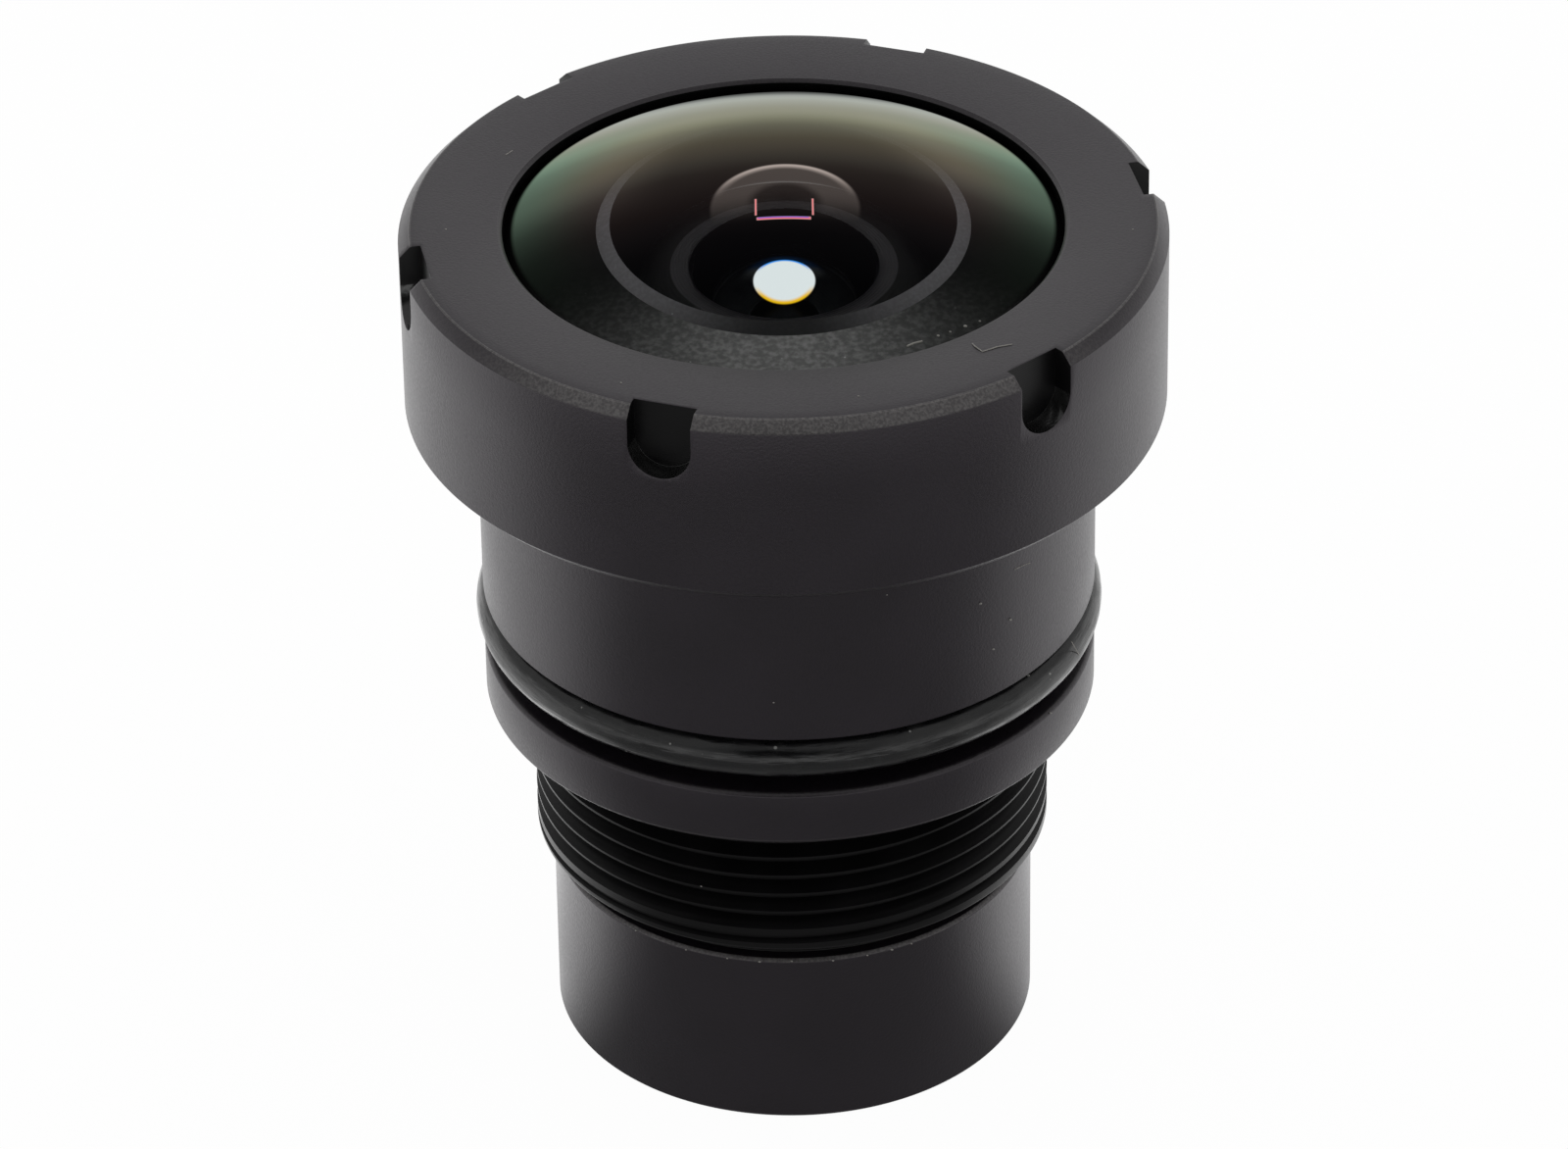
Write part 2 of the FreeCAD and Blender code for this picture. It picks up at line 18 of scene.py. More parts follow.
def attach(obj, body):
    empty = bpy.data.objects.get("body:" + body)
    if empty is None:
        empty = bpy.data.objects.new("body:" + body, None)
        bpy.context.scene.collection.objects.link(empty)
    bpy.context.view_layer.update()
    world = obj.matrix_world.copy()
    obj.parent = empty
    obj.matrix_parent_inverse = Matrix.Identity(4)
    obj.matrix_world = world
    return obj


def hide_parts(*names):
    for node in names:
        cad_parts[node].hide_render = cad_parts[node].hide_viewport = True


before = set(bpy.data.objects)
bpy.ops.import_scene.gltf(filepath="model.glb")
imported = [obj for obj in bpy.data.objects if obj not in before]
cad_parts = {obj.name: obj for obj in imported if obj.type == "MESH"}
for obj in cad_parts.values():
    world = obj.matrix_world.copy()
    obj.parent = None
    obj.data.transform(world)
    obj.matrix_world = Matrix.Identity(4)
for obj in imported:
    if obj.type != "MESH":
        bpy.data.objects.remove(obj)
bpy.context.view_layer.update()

log = logging.getLogger("board_lens")
MM = 0.001
MERGE = 0.0005 * MM
CAMERA_AZIMUTH = 18.8
BEVEL_FROM = 28  # degrees; flatter edges are left sharp
NEAR = 0.01  # slack in millimetres, where faces are told by their place

Point = tuple[float, float]
Spot = tuple[float, float, float]
Colour = tuple[float, float, float]
Place = Callable[[float, float, Vector], bool]


# ---------------------------------------------------------------- bench: modelling by hand


def deselect() -> None:
    """Leave object mode with nothing selected."""
    if bpy.context.object and bpy.context.object.mode != "OBJECT":
        bpy.ops.object.mode_set(mode="OBJECT")
    bpy.ops.object.select_all(action="DESELECT")


def take(piece: Object) -> None:
    """Select one piece alone and make it active.

    Args:
        piece: the piece.
    """
    deselect()
    piece.select_set(True)
    bpy.context.view_layer.objects.active = piece


class Part(Enum):
    """What a pick takes hold of."""

    VERTEX = "VERT"
    EDGE = "EDGE"


def pick(piece: Object, part: Part, test: Callable[[list[Vector]], bool]) -> None:
    """Enter edit mode with only some vertices or edges selected.

    Args:
        piece: the piece to edit.
        part: what is picked.
        test: tells from the corners of a vertex or edge, in millimetres, whether it is picked.
    """
    take(piece)
    bpy.ops.object.mode_set(mode="EDIT")
    bpy.ops.mesh.select_mode(type=part.value)
    bpy.ops.mesh.select_all(action="DESELECT")
    bpy.ops.object.mode_set(mode="OBJECT")
    mesh = piece.data
    if part is Part.VERTEX:
        for vertex in mesh.vertices:
            vertex.select = test([vertex.co / MM])
    else:
        for edge in mesh.edges:
            edge.select = test([mesh.vertices[i].co / MM for i in edge.vertices])
    bpy.ops.object.mode_set(mode="EDIT")


def settle(piece: Object) -> None:
    """Put a piece's place into its mesh, so that its object stands at the origin."""
    take(piece)
    bpy.ops.object.transform_apply(location=True, rotation=True, scale=True)


def select_mesh() -> None:
    """Select all of the mesh that is in edit mode."""
    bpy.ops.mesh.select_all(action="SELECT")


def close_up() -> None:
    """Turn every face of the mesh in edit mode outwards, and leave edit mode."""
    select_mesh()
    bpy.ops.mesh.normals_make_consistent(inside=False)
    bpy.ops.object.mode_set(mode="OBJECT")


def trace(path: Sequence[Spot]) -> Object:
    """Draw a line by extruding a vertex from point to point, and stay in edit mode.

    Args:
        path: the points in millimetres.

    Returns:
        The piece that holds the line.
    """
    deselect()
    bpy.ops.mesh.primitive_plane_add(size=MM, location=[value * MM for value in path[0]])
    bpy.ops.object.mode_set(mode="EDIT")
    select_mesh()
    bpy.ops.mesh.merge(type="CENTER")
    for here, there in zip(path, path[1:]):
        step = [(end - start) * MM for start, end in zip(here, there)]
        bpy.ops.mesh.extrude_vertices_move(TRANSFORM_OT_translate={"value": step})
    return bpy.context.object


def ball(apex: Point, rim: Point, rows: int) -> list[Point]:
    """Points on a ball face from its apex, on the axis, to its rim.

    Args:
        apex: distance from the axis, which is 0, and level of the apex.
        rim: distance from the axis and level of the rim.
        rows: number of steps between the two.

    Returns:
        The points in order, both ends included.
    """
    rise = rim[1] - apex[1]
    radius = (rim[0] ** 2 + rise**2) / (2 * rise)
    turn = math.asin(rim[0] / abs(radius))
    turns = [turn * i / rows for i in range(rows + 1)]
    return [(abs(radius) * math.sin(t), apex[1] + radius * (1 - math.cos(t))) for t in turns]


class Lathe:
    """Turns outlines about the optical axis."""

    def __init__(self, steps: int) -> None:
        """Set the number of flats round a piece."""
        self.steps = steps

    def turn(self, name: str, outline: Sequence[Point]) -> Object:
        """Draw an outline and spin it once round.

        Args:
            name: name of the new piece.
            outline: corners as distance from the axis and level. An outline that doesn't start
                and end on the axis ends where it starts.

        Returns:
            The closed piece, with its faces outwards.
        """
        corners = list(outline)
        if corners[0][0] > 0 or corners[-1][0] > 0:
            corners.append(corners[0])
        piece = trace([(radius, 0, level) for radius, level in corners])
        piece.name = piece.data.name = name
        select_mesh()
        bpy.ops.mesh.spin(steps=self.steps, angle=math.tau, center=(0, 0, 0), axis=(0, 0, 1))
        select_mesh()
        bpy.ops.mesh.remove_doubles(threshold=MERGE)
        close_up()
        settle(piece)
        return piece


def cut(piece: Object, cutter: Object) -> None:
    """Take a cutter's shape out of a piece and throw the cutter away.

    Args:
        piece: the piece that is cut.
        cutter: a closed piece.
    """
    take(piece)
    change = piece.modifiers.new("cut", "BOOLEAN")
    change.operation = "DIFFERENCE"
    change.solver = "EXACT"
    change.object = cutter
    bpy.ops.object.modifier_apply(modifier=change.name)
    bpy.data.objects.remove(cutter)


def soften(piece: Object, width: float) -> None:
    """Round every sharp edge by two flats.

    Args:
        piece: the piece to round.
        width: width of the rounding, in millimetres.
    """
    take(piece)
    change = piece.modifiers.new("edges", "BEVEL")
    change.width = width * MM
    change.segments = 2
    change.limit_method = "ANGLE"
    change.angle_limit = math.radians(BEVEL_FROM)
    bpy.ops.object.modifier_apply(modifier=change.name)


def smooth(piece: Object, angle: float = 32, weighted: bool = True) -> None:
    """Shade a piece smooth up to an angle, with flats kept flat.

    Args:
        piece: the piece to shade.
        angle: the sharpest edge that is still smoothed, in degrees.
        weighted: True where broad faces set the shading of the edges beside them.
    """
    take(piece)
    bpy.ops.object.shade_smooth_by_angle(angle=math.radians(angle))
    if weighted:
        change = piece.modifiers.new("flats", "WEIGHTED_NORMAL")
        change.keep_sharp = True
        bpy.ops.object.modifier_apply(modifier=change.name)


def finish_on(piece: Object, material: Material,
              place: Place | None = None) -> None:
    """Give a finish to a whole piece, or to its faces at a place.

    Args:
        piece: the piece to dress.
        material: the finish.
        place: tells from a face's distance from the axis, level and normal whether it takes
            the finish. The distances are in millimetres.
    """
    if place is None:
        piece.data.materials.clear()
        piece.data.materials.append(material)
        return
    piece.data.materials.append(material)
    index = len(piece.data.materials) - 1
    for face in piece.data.polygons:
        centre = face.center / MM
        if place(math.hypot(centre.x, centre.y), centre.z, face.normal):
            face.material_index = index


def stand_for(piece: Object, node: str) -> None:
    """Let a piece take the place of a CAD node.

    Args:
        piece: the finished piece.
        node: name of the CAD node.
    """
    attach(piece, "root")
    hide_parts(node)
    log.info("%s: %d faces, in place of %s", piece.name, len(piece.data.polygons), node)


# ---------------------------------------------------------------- shader sums


class Sum:
    """A shader socket or a number, on which Python's operators add Math nodes."""

    def __init__(self, tree: "Tree", value: "NodeSocket | float") -> None:
        """Wrap a socket or number of a node tree."""
        self.tree, self.value = tree, value

    def math(self, operation: str, *others: "Sum | float") -> "Sum":
        """Feed this value and others to one Math node.

        Args:
            operation: the Math node's operation.
            others: the values of its other sockets.

        Returns:
            The node's result.
        """
        inputs = dict(enumerate((self, *others)))
        return self.tree.sum(self.tree.node("Math", inputs, operation=operation))

    def __add__(self, other: "Sum | float") -> "Sum":
        """Add."""
        return self.math("ADD", other)

    def __sub__(self, other: "Sum | float") -> "Sum":
        """Take away."""
        return self.math("SUBTRACT", other)

    def __rsub__(self, other: float) -> "Sum":
        """Take this value away from a number."""
        return Sum(self.tree, other).math("SUBTRACT", self)

    def __mul__(self, other: "Sum | float") -> "Sum":
        """Multiply."""
        return self.math("MULTIPLY", other)

    def __truediv__(self, other: "Sum | float") -> "Sum":
        """Divide."""
        return self.math("DIVIDE", other)

    def __pow__(self, other: "Sum | float") -> "Sum":
        """Raise to a power."""
        return self.math("POWER", other)

    __radd__, __rmul__ = __add__, __mul__

    def step(self, low: float, high: float) -> "Sum":
        """Rise smoothly from 0 to 1; fall where low is above high.

        Args:
            low: the value where the result is 0.
            high: the value where it is 1.

        Returns:
            The result.
        """
        return self.tree.sum(self.tree.node("MapRange", {
            "Value": self, "From Min": min(low, high), "From Max": max(low, high),
            "To Min": float(low > high), "To Max": float(low < high),
        }, interpolation_type="SMOOTHSTEP"), "Result")


class Tree:
    """The node tree of one material or of the world."""

    def __init__(self, owner: Material | World) -> None:
        """Empty a tree and give it an output.

        Args:
            owner: the material or world that has the tree.
        """
        owner.use_nodes = True
        self.nodes, self.links = owner.node_tree.nodes, owner.node_tree.links
        self.nodes.clear()
        kind = "World" if isinstance(owner, World) else "Material"
        self.output = self.nodes.new("ShaderNodeOutput" + kind)

    def node(self, kind: str, inputs: dict | None = None, **settings: object) -> Node:
        """Add a node.

        Args:
            kind: the node's type, without the words that every type starts with.
            inputs: sockets by name or number, with a value, a socket or a Sum.
            settings: properties, which are set first.

        Returns:
            The node.
        """
        node = self.nodes.new("ShaderNode" + kind)
        for name, value in settings.items():
            setattr(node, name, value)
        for name, value in (inputs or {}).items():
            value = value.value if isinstance(value, Sum) else value
            if isinstance(value, NodeSocket):
                self.links.new(value, node.inputs[name])
            else:
                node.inputs[name].default_value = value
        return node

    def sum(self, node: Node, socket: str | int = 0) -> Sum:
        """One output of a node, ready for sums."""
        return Sum(self, node.outputs[socket])

    def shade(self, shader: Node) -> None:
        """Lead a shader node to the output."""
        self.links.new(shader.outputs[0], self.output.inputs["Surface"])

    def axes(self) -> tuple[Sum, Sum, Sum, NodeSocket]:
        """Place on the piece, in millimetres.

        Returns:
            x, y, z and the vector of all three.
        """
        coordinates = self.node("TexCoord")
        scaled = self.node("VectorMath", {0: coordinates.outputs["Object"], "Scale": 1 / MM},
                           operation="SCALE")
        parts = self.node("SeparateXYZ", {0: scaled.outputs[0]})
        return (*(self.sum(parts, i) for i in range(3)), scaled.outputs[0])

    def facing(self) -> tuple[Sum, Sum, Sum]:
        """Place on the piece as the photograph shows it.

        Returns:
            To the right and to the back, in millimetres, and the distance from the axis.
        """
        x, y, *_ = self.axes()
        turn = math.radians(CAMERA_AZIMUTH)
        across = x * math.cos(turn) + y * math.sin(turn)
        back = y * math.cos(turn) - x * math.sin(turn)
        return across, back, (x * x + y * y) ** 0.5

    def ramp(self, value: Sum, stops: Sequence[tuple[float, Colour]]) -> NodeSocket:
        """A colour that follows a value between stops.

        Args:
            value: the value.
            stops: each a value and its colour.

        Returns:
            The colour's socket.
        """
        node = self.node("ValToRGB", {"Fac": value})
        marks = node.color_ramp.elements
        while len(marks) < len(stops):
            marks.new(0.5)
        for mark, (place, colour) in zip(marks, stops):
            mark.position, mark.color = place, (*colour, 1.0)
        return node.outputs["Color"]

    def glow(self, colour: Colour | NodeSocket) -> Node:
        """A dark surface that gives off a colour.

        Args:
            colour: colour or colour socket.

        Returns:
            The shader.
        """
        value = (*colour, 1.0) if isinstance(colour, tuple) else colour
        return self.node("BsdfPrincipled", {
            "Base Color": (0, 0, 0, 1), "Specular IOR Level": 0.0, "Roughness": 1.0,
            "Emission Color": value, "Emission Strength": 1.0})

    def over(self, factor: Sum, under: Node, upper: Node) -> Node:
        """Lay one shader over another by a factor."""
        return self.node("MixShader", {0: factor, 1: under.outputs[0], 2: upper.outputs[0]})

    def noise(self, vector: NodeSocket, scale: float, detail: float = 2.0) -> Sum:
        """Soft noise with a number of waves to the millimetre."""
        inputs = {"Vector": vector, "Scale": scale, "Detail": detail}
        return self.sum(self.node("TexNoise", inputs))

    def blend(self, factor: "Sum | float", first: object, second: object) -> NodeSocket:
        """Mix two colours by a factor.

        Args:
            factor: 0 for the first and 1 for the second.
            first: colour or colour socket.
            second: colour or colour socket.

        Returns:
            The mixed colour's socket.
        """
        ends = [(*end, 1.0) if isinstance(end, tuple) else end for end in (first, second)]
        node = self.node("Mix", {"Factor": factor, 6: ends[0], 7: ends[1]}, data_type="RGBA")
        return node.outputs[2]

    def specks(self, vector: NodeSocket, scale: float, size: float, share: float) -> Sum:
        """Scattered round specks, as of dust.

        Args:
            vector: place on the piece in millimetres.
            scale: cells to the millimetre.
            size: radius of the largest specks, in cells.
            share: share of the cells that hold one.

        Returns:
            1 on a speck and 0 beside it.
        """
        cells = self.node("TexVoronoi", {"Vector": vector, "Scale": scale})
        lot = self.sum(self.node("SeparateColor", {0: cells.outputs["Color"]}))
        reach = lot.step(1 - share, 1) * size
        return (reach - self.sum(cells, "Distance")).step(0, size * 0.25)

    def bump(self, height: Sum, depth: float) -> NodeSocket:
        """Bump a surface by a height between 0 and 1 that stands for a depth in millimetres."""
        inputs = {"Strength": 1.0, "Distance": depth * MM, "Height": height}
        return self.node("Bump", inputs).outputs[0]

    def grey(self, level: Sum) -> NodeSocket:
        """A grey colour of a level."""
        return self.node("CombineColor", {0: level, 1: level, 2: level}).outputs[0]


# ---------------------------------------------------------------- finishes


@dataclass(frozen=True)
class Finish:
    """A named finish; each kind lays out its own nodes."""

    name: str

    def surface(self, tree: Tree) -> Node:
        """Lay out the nodes and return the shader that shows."""
        raise NotImplementedError

    def material(self) -> Material:
        """Build the finish.

        Returns:
            The material, ready for a piece.
        """
        material = bpy.data.materials.new(self.name)
        tree = Tree(material)
        tree.shade(self.surface(tree))
        return material


@dataclass(frozen=True)
class BlastedAnodising(Finish):
    """Fine bead-blasted aluminium, anodised black.

    An edge is its distance from the axis and level, how far from it the edge is made lighter, and
    how much: abrasion of the black and painted highlights along the chamfers. An edge that reaches
    further than the highlight reach is a painted highlight, lighter only towards the camera's side.
    """

    edges: tuple[tuple[float, float, float, float], ...] = ()
    tone: Colour = (0.0075, 0.0056, 0.0080)
    # colour of the lighter edges: bare metal where abraded, and painted highlight on the chamfers
    bare: Colour = (0.16, 0.155, 0.15)
    roughness: float = 0.26
    grain: float = 16.0
    grain_depth: float = 0.0045
    dust_share: float = 0.16
    dust_tone: Colour = (0.42, 0.41, 0.39)
    tint: Colour = (1.0, 0.94, 1.0)
    painted_highlight_reach: float = 0.15

    def wear_and_highlight(self, tree: Tree, radius: Sum, level: Sum, grain: Sum) -> Sum:
        """How much lighter the edges are: abrasion of the anodising, and painted highlights on the
        chamfers.

        Args:
            tree: the material's tree.
            radius: distance from the axis in millimetres.
            level: height in millimetres.
            grain: fine noise that breaks the lighter bands up.

        Returns:
            0 where the black is whole and unlit, up to the strength given for an edge.
        """
        worn_or_lit = Sum(tree, 0.0)
        _, back, around = tree.facing()
        for edge_r, edge_z, reach, strength in self.edges:
            away = ((radius - edge_r) ** 2 + (level - edge_z) ** 2) ** 0.5
            rubbed_or_lit = away.step(reach, reach * 0.75) * strength
            # a wide edge is a painted highlight, lighter only on the camera's side
            if reach > self.painted_highlight_reach:
                rubbed_or_lit = rubbed_or_lit * ((back / around).step(-0.55, -0.88) * 0.85 + 0.15)
            worn_or_lit = worn_or_lit + rubbed_or_lit
        return worn_or_lit * (grain.step(0.3, 0.75) * 0.7 + 0.6)

    def surface(self, tree: Tree) -> Node:
        """Lay out the nodes.

        Args:
            tree: the material's empty tree.

        Returns:
            The shader that shows.
        """
        x, y, z, place = tree.axes()
        grain = tree.noise(place, self.grain, 1.0)
        cloud = tree.noise(place, 0.55, 0.0)
        dust = tree.specks(place, scale=1.3, size=0.045, share=self.dust_share)
        light = tuple(t * 1.25 for t in self.tone)
        tone = tree.blend(cloud.step(0.35, 0.7), self.tone, light)
        # lighter edges: abrasion to bare metal, and painted highlights on the chamfers
        tone = tree.blend(self.wear_and_highlight(tree, (x * x + y * y) ** 0.5, z, grain), tone, self.bare)
        tone = tree.blend(dust * 0.8, tone, self.dust_tone)
        roughness = grain * 0.16 + self.roughness + cloud * 0.05
        return tree.node("BsdfPrincipled", {
            "Base Color": tone, "Roughness": roughness, "IOR": 1.5,
            "Specular Tint": (*self.tint, 1.0), "Normal": tree.bump(grain, self.grain_depth),
        })


@dataclass(frozen=True)
class TurnedBlack(Finish):
    """Black surface with the fine rings that a lathe leaves."""

    tone: Colour = (0.005, 0.005, 0.0052)
    roughness: float = 0.32
    pitch: float = 0.055
    depth: float = 0.0012
    ior: float = 1.5

    def surface(self, tree: Tree) -> Node:
        """Lay out the nodes.

        Args:
            tree: the material's empty tree.

        Returns:
            The shader that shows.
        """
        x, y, z, place = tree.axes()
        radius = (x * x + y * y) ** 0.5
        rings = ((radius + z) * (math.tau / self.pitch)).math("SINE") * 0.5 + 0.5
        grain = tree.noise(place, 14.0, 0.0)
        uneven = tree.noise(place, 1.2, 0.0)
        tone = tree.blend(uneven, self.tone, tuple(t * 2.2 for t in self.tone))
        return tree.node("BsdfPrincipled", {
            "Base Color": tone, "Roughness": self.roughness + uneven * 0.12, "IOR": self.ior,
            "Normal": tree.bump(rings * 0.7 + grain * 0.5, self.depth),
        })


@dataclass(frozen=True)
class SealRubber(Finish):
    """Moulded black rubber with streaks round the cord, scuffs and grains of dust."""

    tone: Colour = (0.005, 0.005, 0.0055)
    scuffed: Colour = (0.012, 0.012, 0.012)
    dust_tone: Colour = (0.4, 0.4, 0.38)
    streaks_in_height: float = 8.0

    def surface(self, tree: Tree) -> Node:
        """Lay out the nodes.

        Args:
            tree: the material's empty tree.

        Returns:
            The shader that shows.
        """
        x, y, z, place = tree.axes()
        along = tree.node("CombineXYZ", {
            "X": x, "Y": y, "Z": z * self.streaks_in_height})
        streak = tree.noise(along.outputs["Vector"], 1.0)
        scuff = tree.noise(place, 2.4)
        dust = tree.specks(place, scale=2.6, size=0.12, share=0.5)
        tone = tree.blend(scuff.step(0.5, 0.75), self.tone, self.scuffed)
        tone = tree.blend(dust * 0.6, tone, self.dust_tone)
        return tree.node("BsdfPrincipled", {
            "Base Color": tone, "Roughness": scuff * 0.14 + streak.step(0.35, 0.65) * 0.2 + 0.1,
            "IOR": 1.5, "Normal": tree.bump(scuff * 0.3 + streak, 0.02),
        })


@dataclass(frozen=True)
class Lint(Finish):
    """Pale dust."""

    tone: Colour = (0.3, 0.29, 0.27)

    def surface(self, tree: Tree) -> Node:
        """Lay out the nodes.

        Args:
            tree: the material's empty tree.

        Returns:
            The shader that shows.
        """
        *_, place = tree.axes()
        tone = tree.blend(tree.noise(place, 9.0), self.tone, tuple(t * 1.5 for t in self.tone))
        return tree.node("BsdfPrincipled", {"Base Color": tone, "Roughness": 0.9})


@dataclass(frozen=True)
class ClearGlass(Finish):
    """Polished glass under a coating that hardly mirrors.

    Where the bare glass would mirror, between the two shares of flat, the glass is painted black
    instead, a painted shade in place of the reflection, and no light passes any more.
    """

    ior: float
    pale: Colour = (0.98, 0.985, 0.98)
    flat: Point = (0.12, 0.3)

    def clear(self, tree: Tree) -> Node:
        """The light that passes through, painted black where the glass is seen too flat.

        Args:
            tree: the material's empty tree.

        Returns:
            The shader that shows.
        """
        through = tree.node("BsdfRefraction", {
            "IOR": self.ior, "Roughness": 0.0, "Color": (*self.pale, 1)})
        share = tree.sum(tree.node("Fresnel", {"IOR": self.ior}))
        # painted black where the glass would mirror: painted shade in place of the reflection
        painted_dark = tree.node("BsdfDiffuse", {"Color": (0, 0, 0, 1)})
        return tree.over(share.step(*self.flat), through, painted_dark)

    def surface(self, tree: Tree) -> Node:
        """Lay out the nodes of clear glass."""
        return self.clear(tree)


@dataclass(frozen=True)
class RearGlass(Finish):
    """A glass behind the stop, which lets light through and mirrors a little of it."""

    ior: float = 1.7
    body: Colour = (0.3, 0.32, 0.31)
    tone: Colour = (0.7, 0.6, 0.75)

    def surface(self, tree: Tree) -> Node:
        """Lay out the nodes.

        Args:
            tree: the material's empty tree.

        Returns:
            The shader that shows.
        """
        share = tree.sum(tree.node("Fresnel", {"IOR": self.ior}))
        through = tree.node("BsdfRefraction", {
            "IOR": self.ior, "Roughness": 0.0, "Color": (*self.body, 1)})
        gloss = tree.node("BsdfGlossy", {"Color": (*self.tone, 1), "Roughness": 0.0})
        return tree.over(share, through, gloss)


@dataclass(frozen=True)
class DomeGlass(ClearGlass):
    """The front dome, with a painted reflection of the white tent: a glow that grows the flatter
    the dome is seen.

    A stop is the share that bare glass would mirror, the colour of the painted reflection there,
    and how much of it shows.
    """

    stops: tuple[tuple[float, Colour, float], ...] = (
        (0.09, (0.8, 0.8, 1.0), 0.001), (0.102, (0.9, 0.8, 0.9), 0.003),
        (0.117, (1.0, 0.72, 0.7), 0.009), (0.14, (1.0, 0.8, 0.7), 0.02),
        (0.151, (1.0, 0.87, 0.72), 0.034), (0.166, (1.0, 0.86, 0.66), 0.052),
        (0.186, (1.0, 0.88, 0.63), 0.07), (0.213, (1.0, 0.95, 0.7), 0.105),
        (0.231, (1.0, 0.98, 0.7), 0.13), (0.253, (1.0, 1.0, 0.71), 0.185),
        (0.281, (1.0, 1.0, 0.75), 0.245), (0.317, (1.0, 1.0, 0.79), 0.285),
        (0.368, (0.98, 1.0, 0.85), 0.34), (0.446, (0.95, 1.0, 0.9), 0.42),
        (0.5, (0.95, 1.0, 0.92), 0.38), (0.56, (0.95, 1.0, 0.95), 0.22),
        (0.62, (0.95, 1.0, 0.95), 0.1), (0.8, (1.0, 1.0, 1.0), 0.1), (0.9, (1.0, 1.0, 1.0), 0.48))
    rim_reflection_tint: Colour = (0.68, 1.0, 0.74)

    def surface(self, tree: Tree) -> Node:
        """Lay out the nodes.

        Args:
            tree: the material's empty tree.

        Returns:
            The shader that shows.
        """
        _, _, radius = tree.facing()
        share = tree.sum(tree.node("Fresnel", {"IOR": self.ior}))
        colour = tree.ramp(share, [(place, tone) for place, tone, _ in self.stops])
        level = tree.sum(tree.node("SeparateColor", {0: tree.ramp(
            share, [(place, (amount,) * 3) for place, _, amount in self.stops])}))
        # greener painted reflection towards the rim
        rim = radius.step(4.0, 6.0) * share.step(0.38, 0.24)
        colour = tree.blend(rim, colour, self.rim_reflection_tint)
        # painted glint at the sides of the dome
        side = radius.step(2.4, 4.2) * share.step(0.115, 0.18) * share.step(0.34, 0.24)
        # painted shade of the lip: the glow fades at the dome's edge
        level = (level + side * 0.045) * radius.step(6.15, 6.02)
        # the painted reflection glows over the clear glass
        return tree.over(level, self.clear(tree), tree.glow(colour))


@dataclass(frozen=True)
class HollowGlass(ClearGlass):
    """The hollow of the front glass, with painted reflections of the tent, glowing where the second
    glass would show them.

    The arc has a centre and a reach. A line is its centre, to the right and back, and half its
    width and length. All are in millimetres.
    """

    centre: Point = (0.04, -0.63)
    reach: float = 1.61
    # colours of the painted reflections
    tone: Colour = (1.0, 0.84, 0.77)
    lines: tuple[tuple[float, float, float, float], ...] = (
        (-0.585, -0.72, 0.018, 0.28), (0.63, -0.73, 0.018, 0.28), (0.01, -1.115, 0.575, 0.042))
    line_tone: Colour = (1.0, 0.24, 0.26)
    line_upper: Colour = (0.2, 0.08, 0.75)
    upper_back: Point = (-1.13, -1.085)
    line_level: float = 0.85
    line_blur: Point = (0.012, 0.014)

    def painted_crescent(self, across: Sum, back: Sum) -> Sum:
        """The painted reflection of an arc along the upper edge of the second glass, with a faint
        painted glow inside it.

        Args:
            across: place to the right, in millimetres.
            back: place to the back, in millimetres.

        Returns:
            Its brightness.
        """
        away = ((across - self.centre[0]) ** 2 + (back - self.centre[1]) ** 2) ** 0.5
        depth = self.reach - away
        arc = depth.step(0.26, 0.0) * back.step(-0.3, 0.95) * 0.5
        # faint painted glow inside the arc
        painted_glow_fill = depth.step(1.0, 0.7) * 0.042 + depth.step(1.9, 1.0) * 0.01
        return (arc + painted_glow_fill) * depth.step(-0.02, 0.08) * back.step(-1.2, -0.1)

    def painted_frame_lines(self, across: Sum, back: Sum) -> Sum:
        """The painted reflection of the tent's frame, in thin lines.

        Args:
            across: place to the right, in millimetres.
            back: place to the back, in millimetres.

        Returns:
            1 on a line and 0 beside it.
        """
        lines = Sum(across.tree, 0.0)
        for centre_x, centre_y, half_x, half_y in self.lines:
            off_x = (across - centre_x).math("ABSOLUTE")
            off_y = (back - centre_y).math("ABSOLUTE")
            lines = lines.math(
                "MAXIMUM", off_x.step(half_x + self.line_blur[0], half_x - self.line_blur[0])
                * off_y.step(half_y + self.line_blur[1], half_y - self.line_blur[1]))
        return lines

    def surface(self, tree: Tree) -> Node:
        """Lay out the nodes.

        Args:
            tree: the material's empty tree.

        Returns:
            The shader that shows.
        """
        across, back, _ = tree.facing()
        lines = self.painted_frame_lines(across, back)
        # the painted reflections glow over the clear glass
        level = self.painted_crescent(across, back).math("MAXIMUM", lines * self.line_level)
        upper = across.math("ABSOLUTE").step(0.6, 0.5) * back.step(*self.upper_back)
        line_tone = tree.blend(upper * back.step(-0.95, -1.05), self.line_tone, self.line_upper)
        colour = tree.blend(lines, self.tone, line_tone)
        return tree.over(level, self.clear(tree), tree.glow(colour))


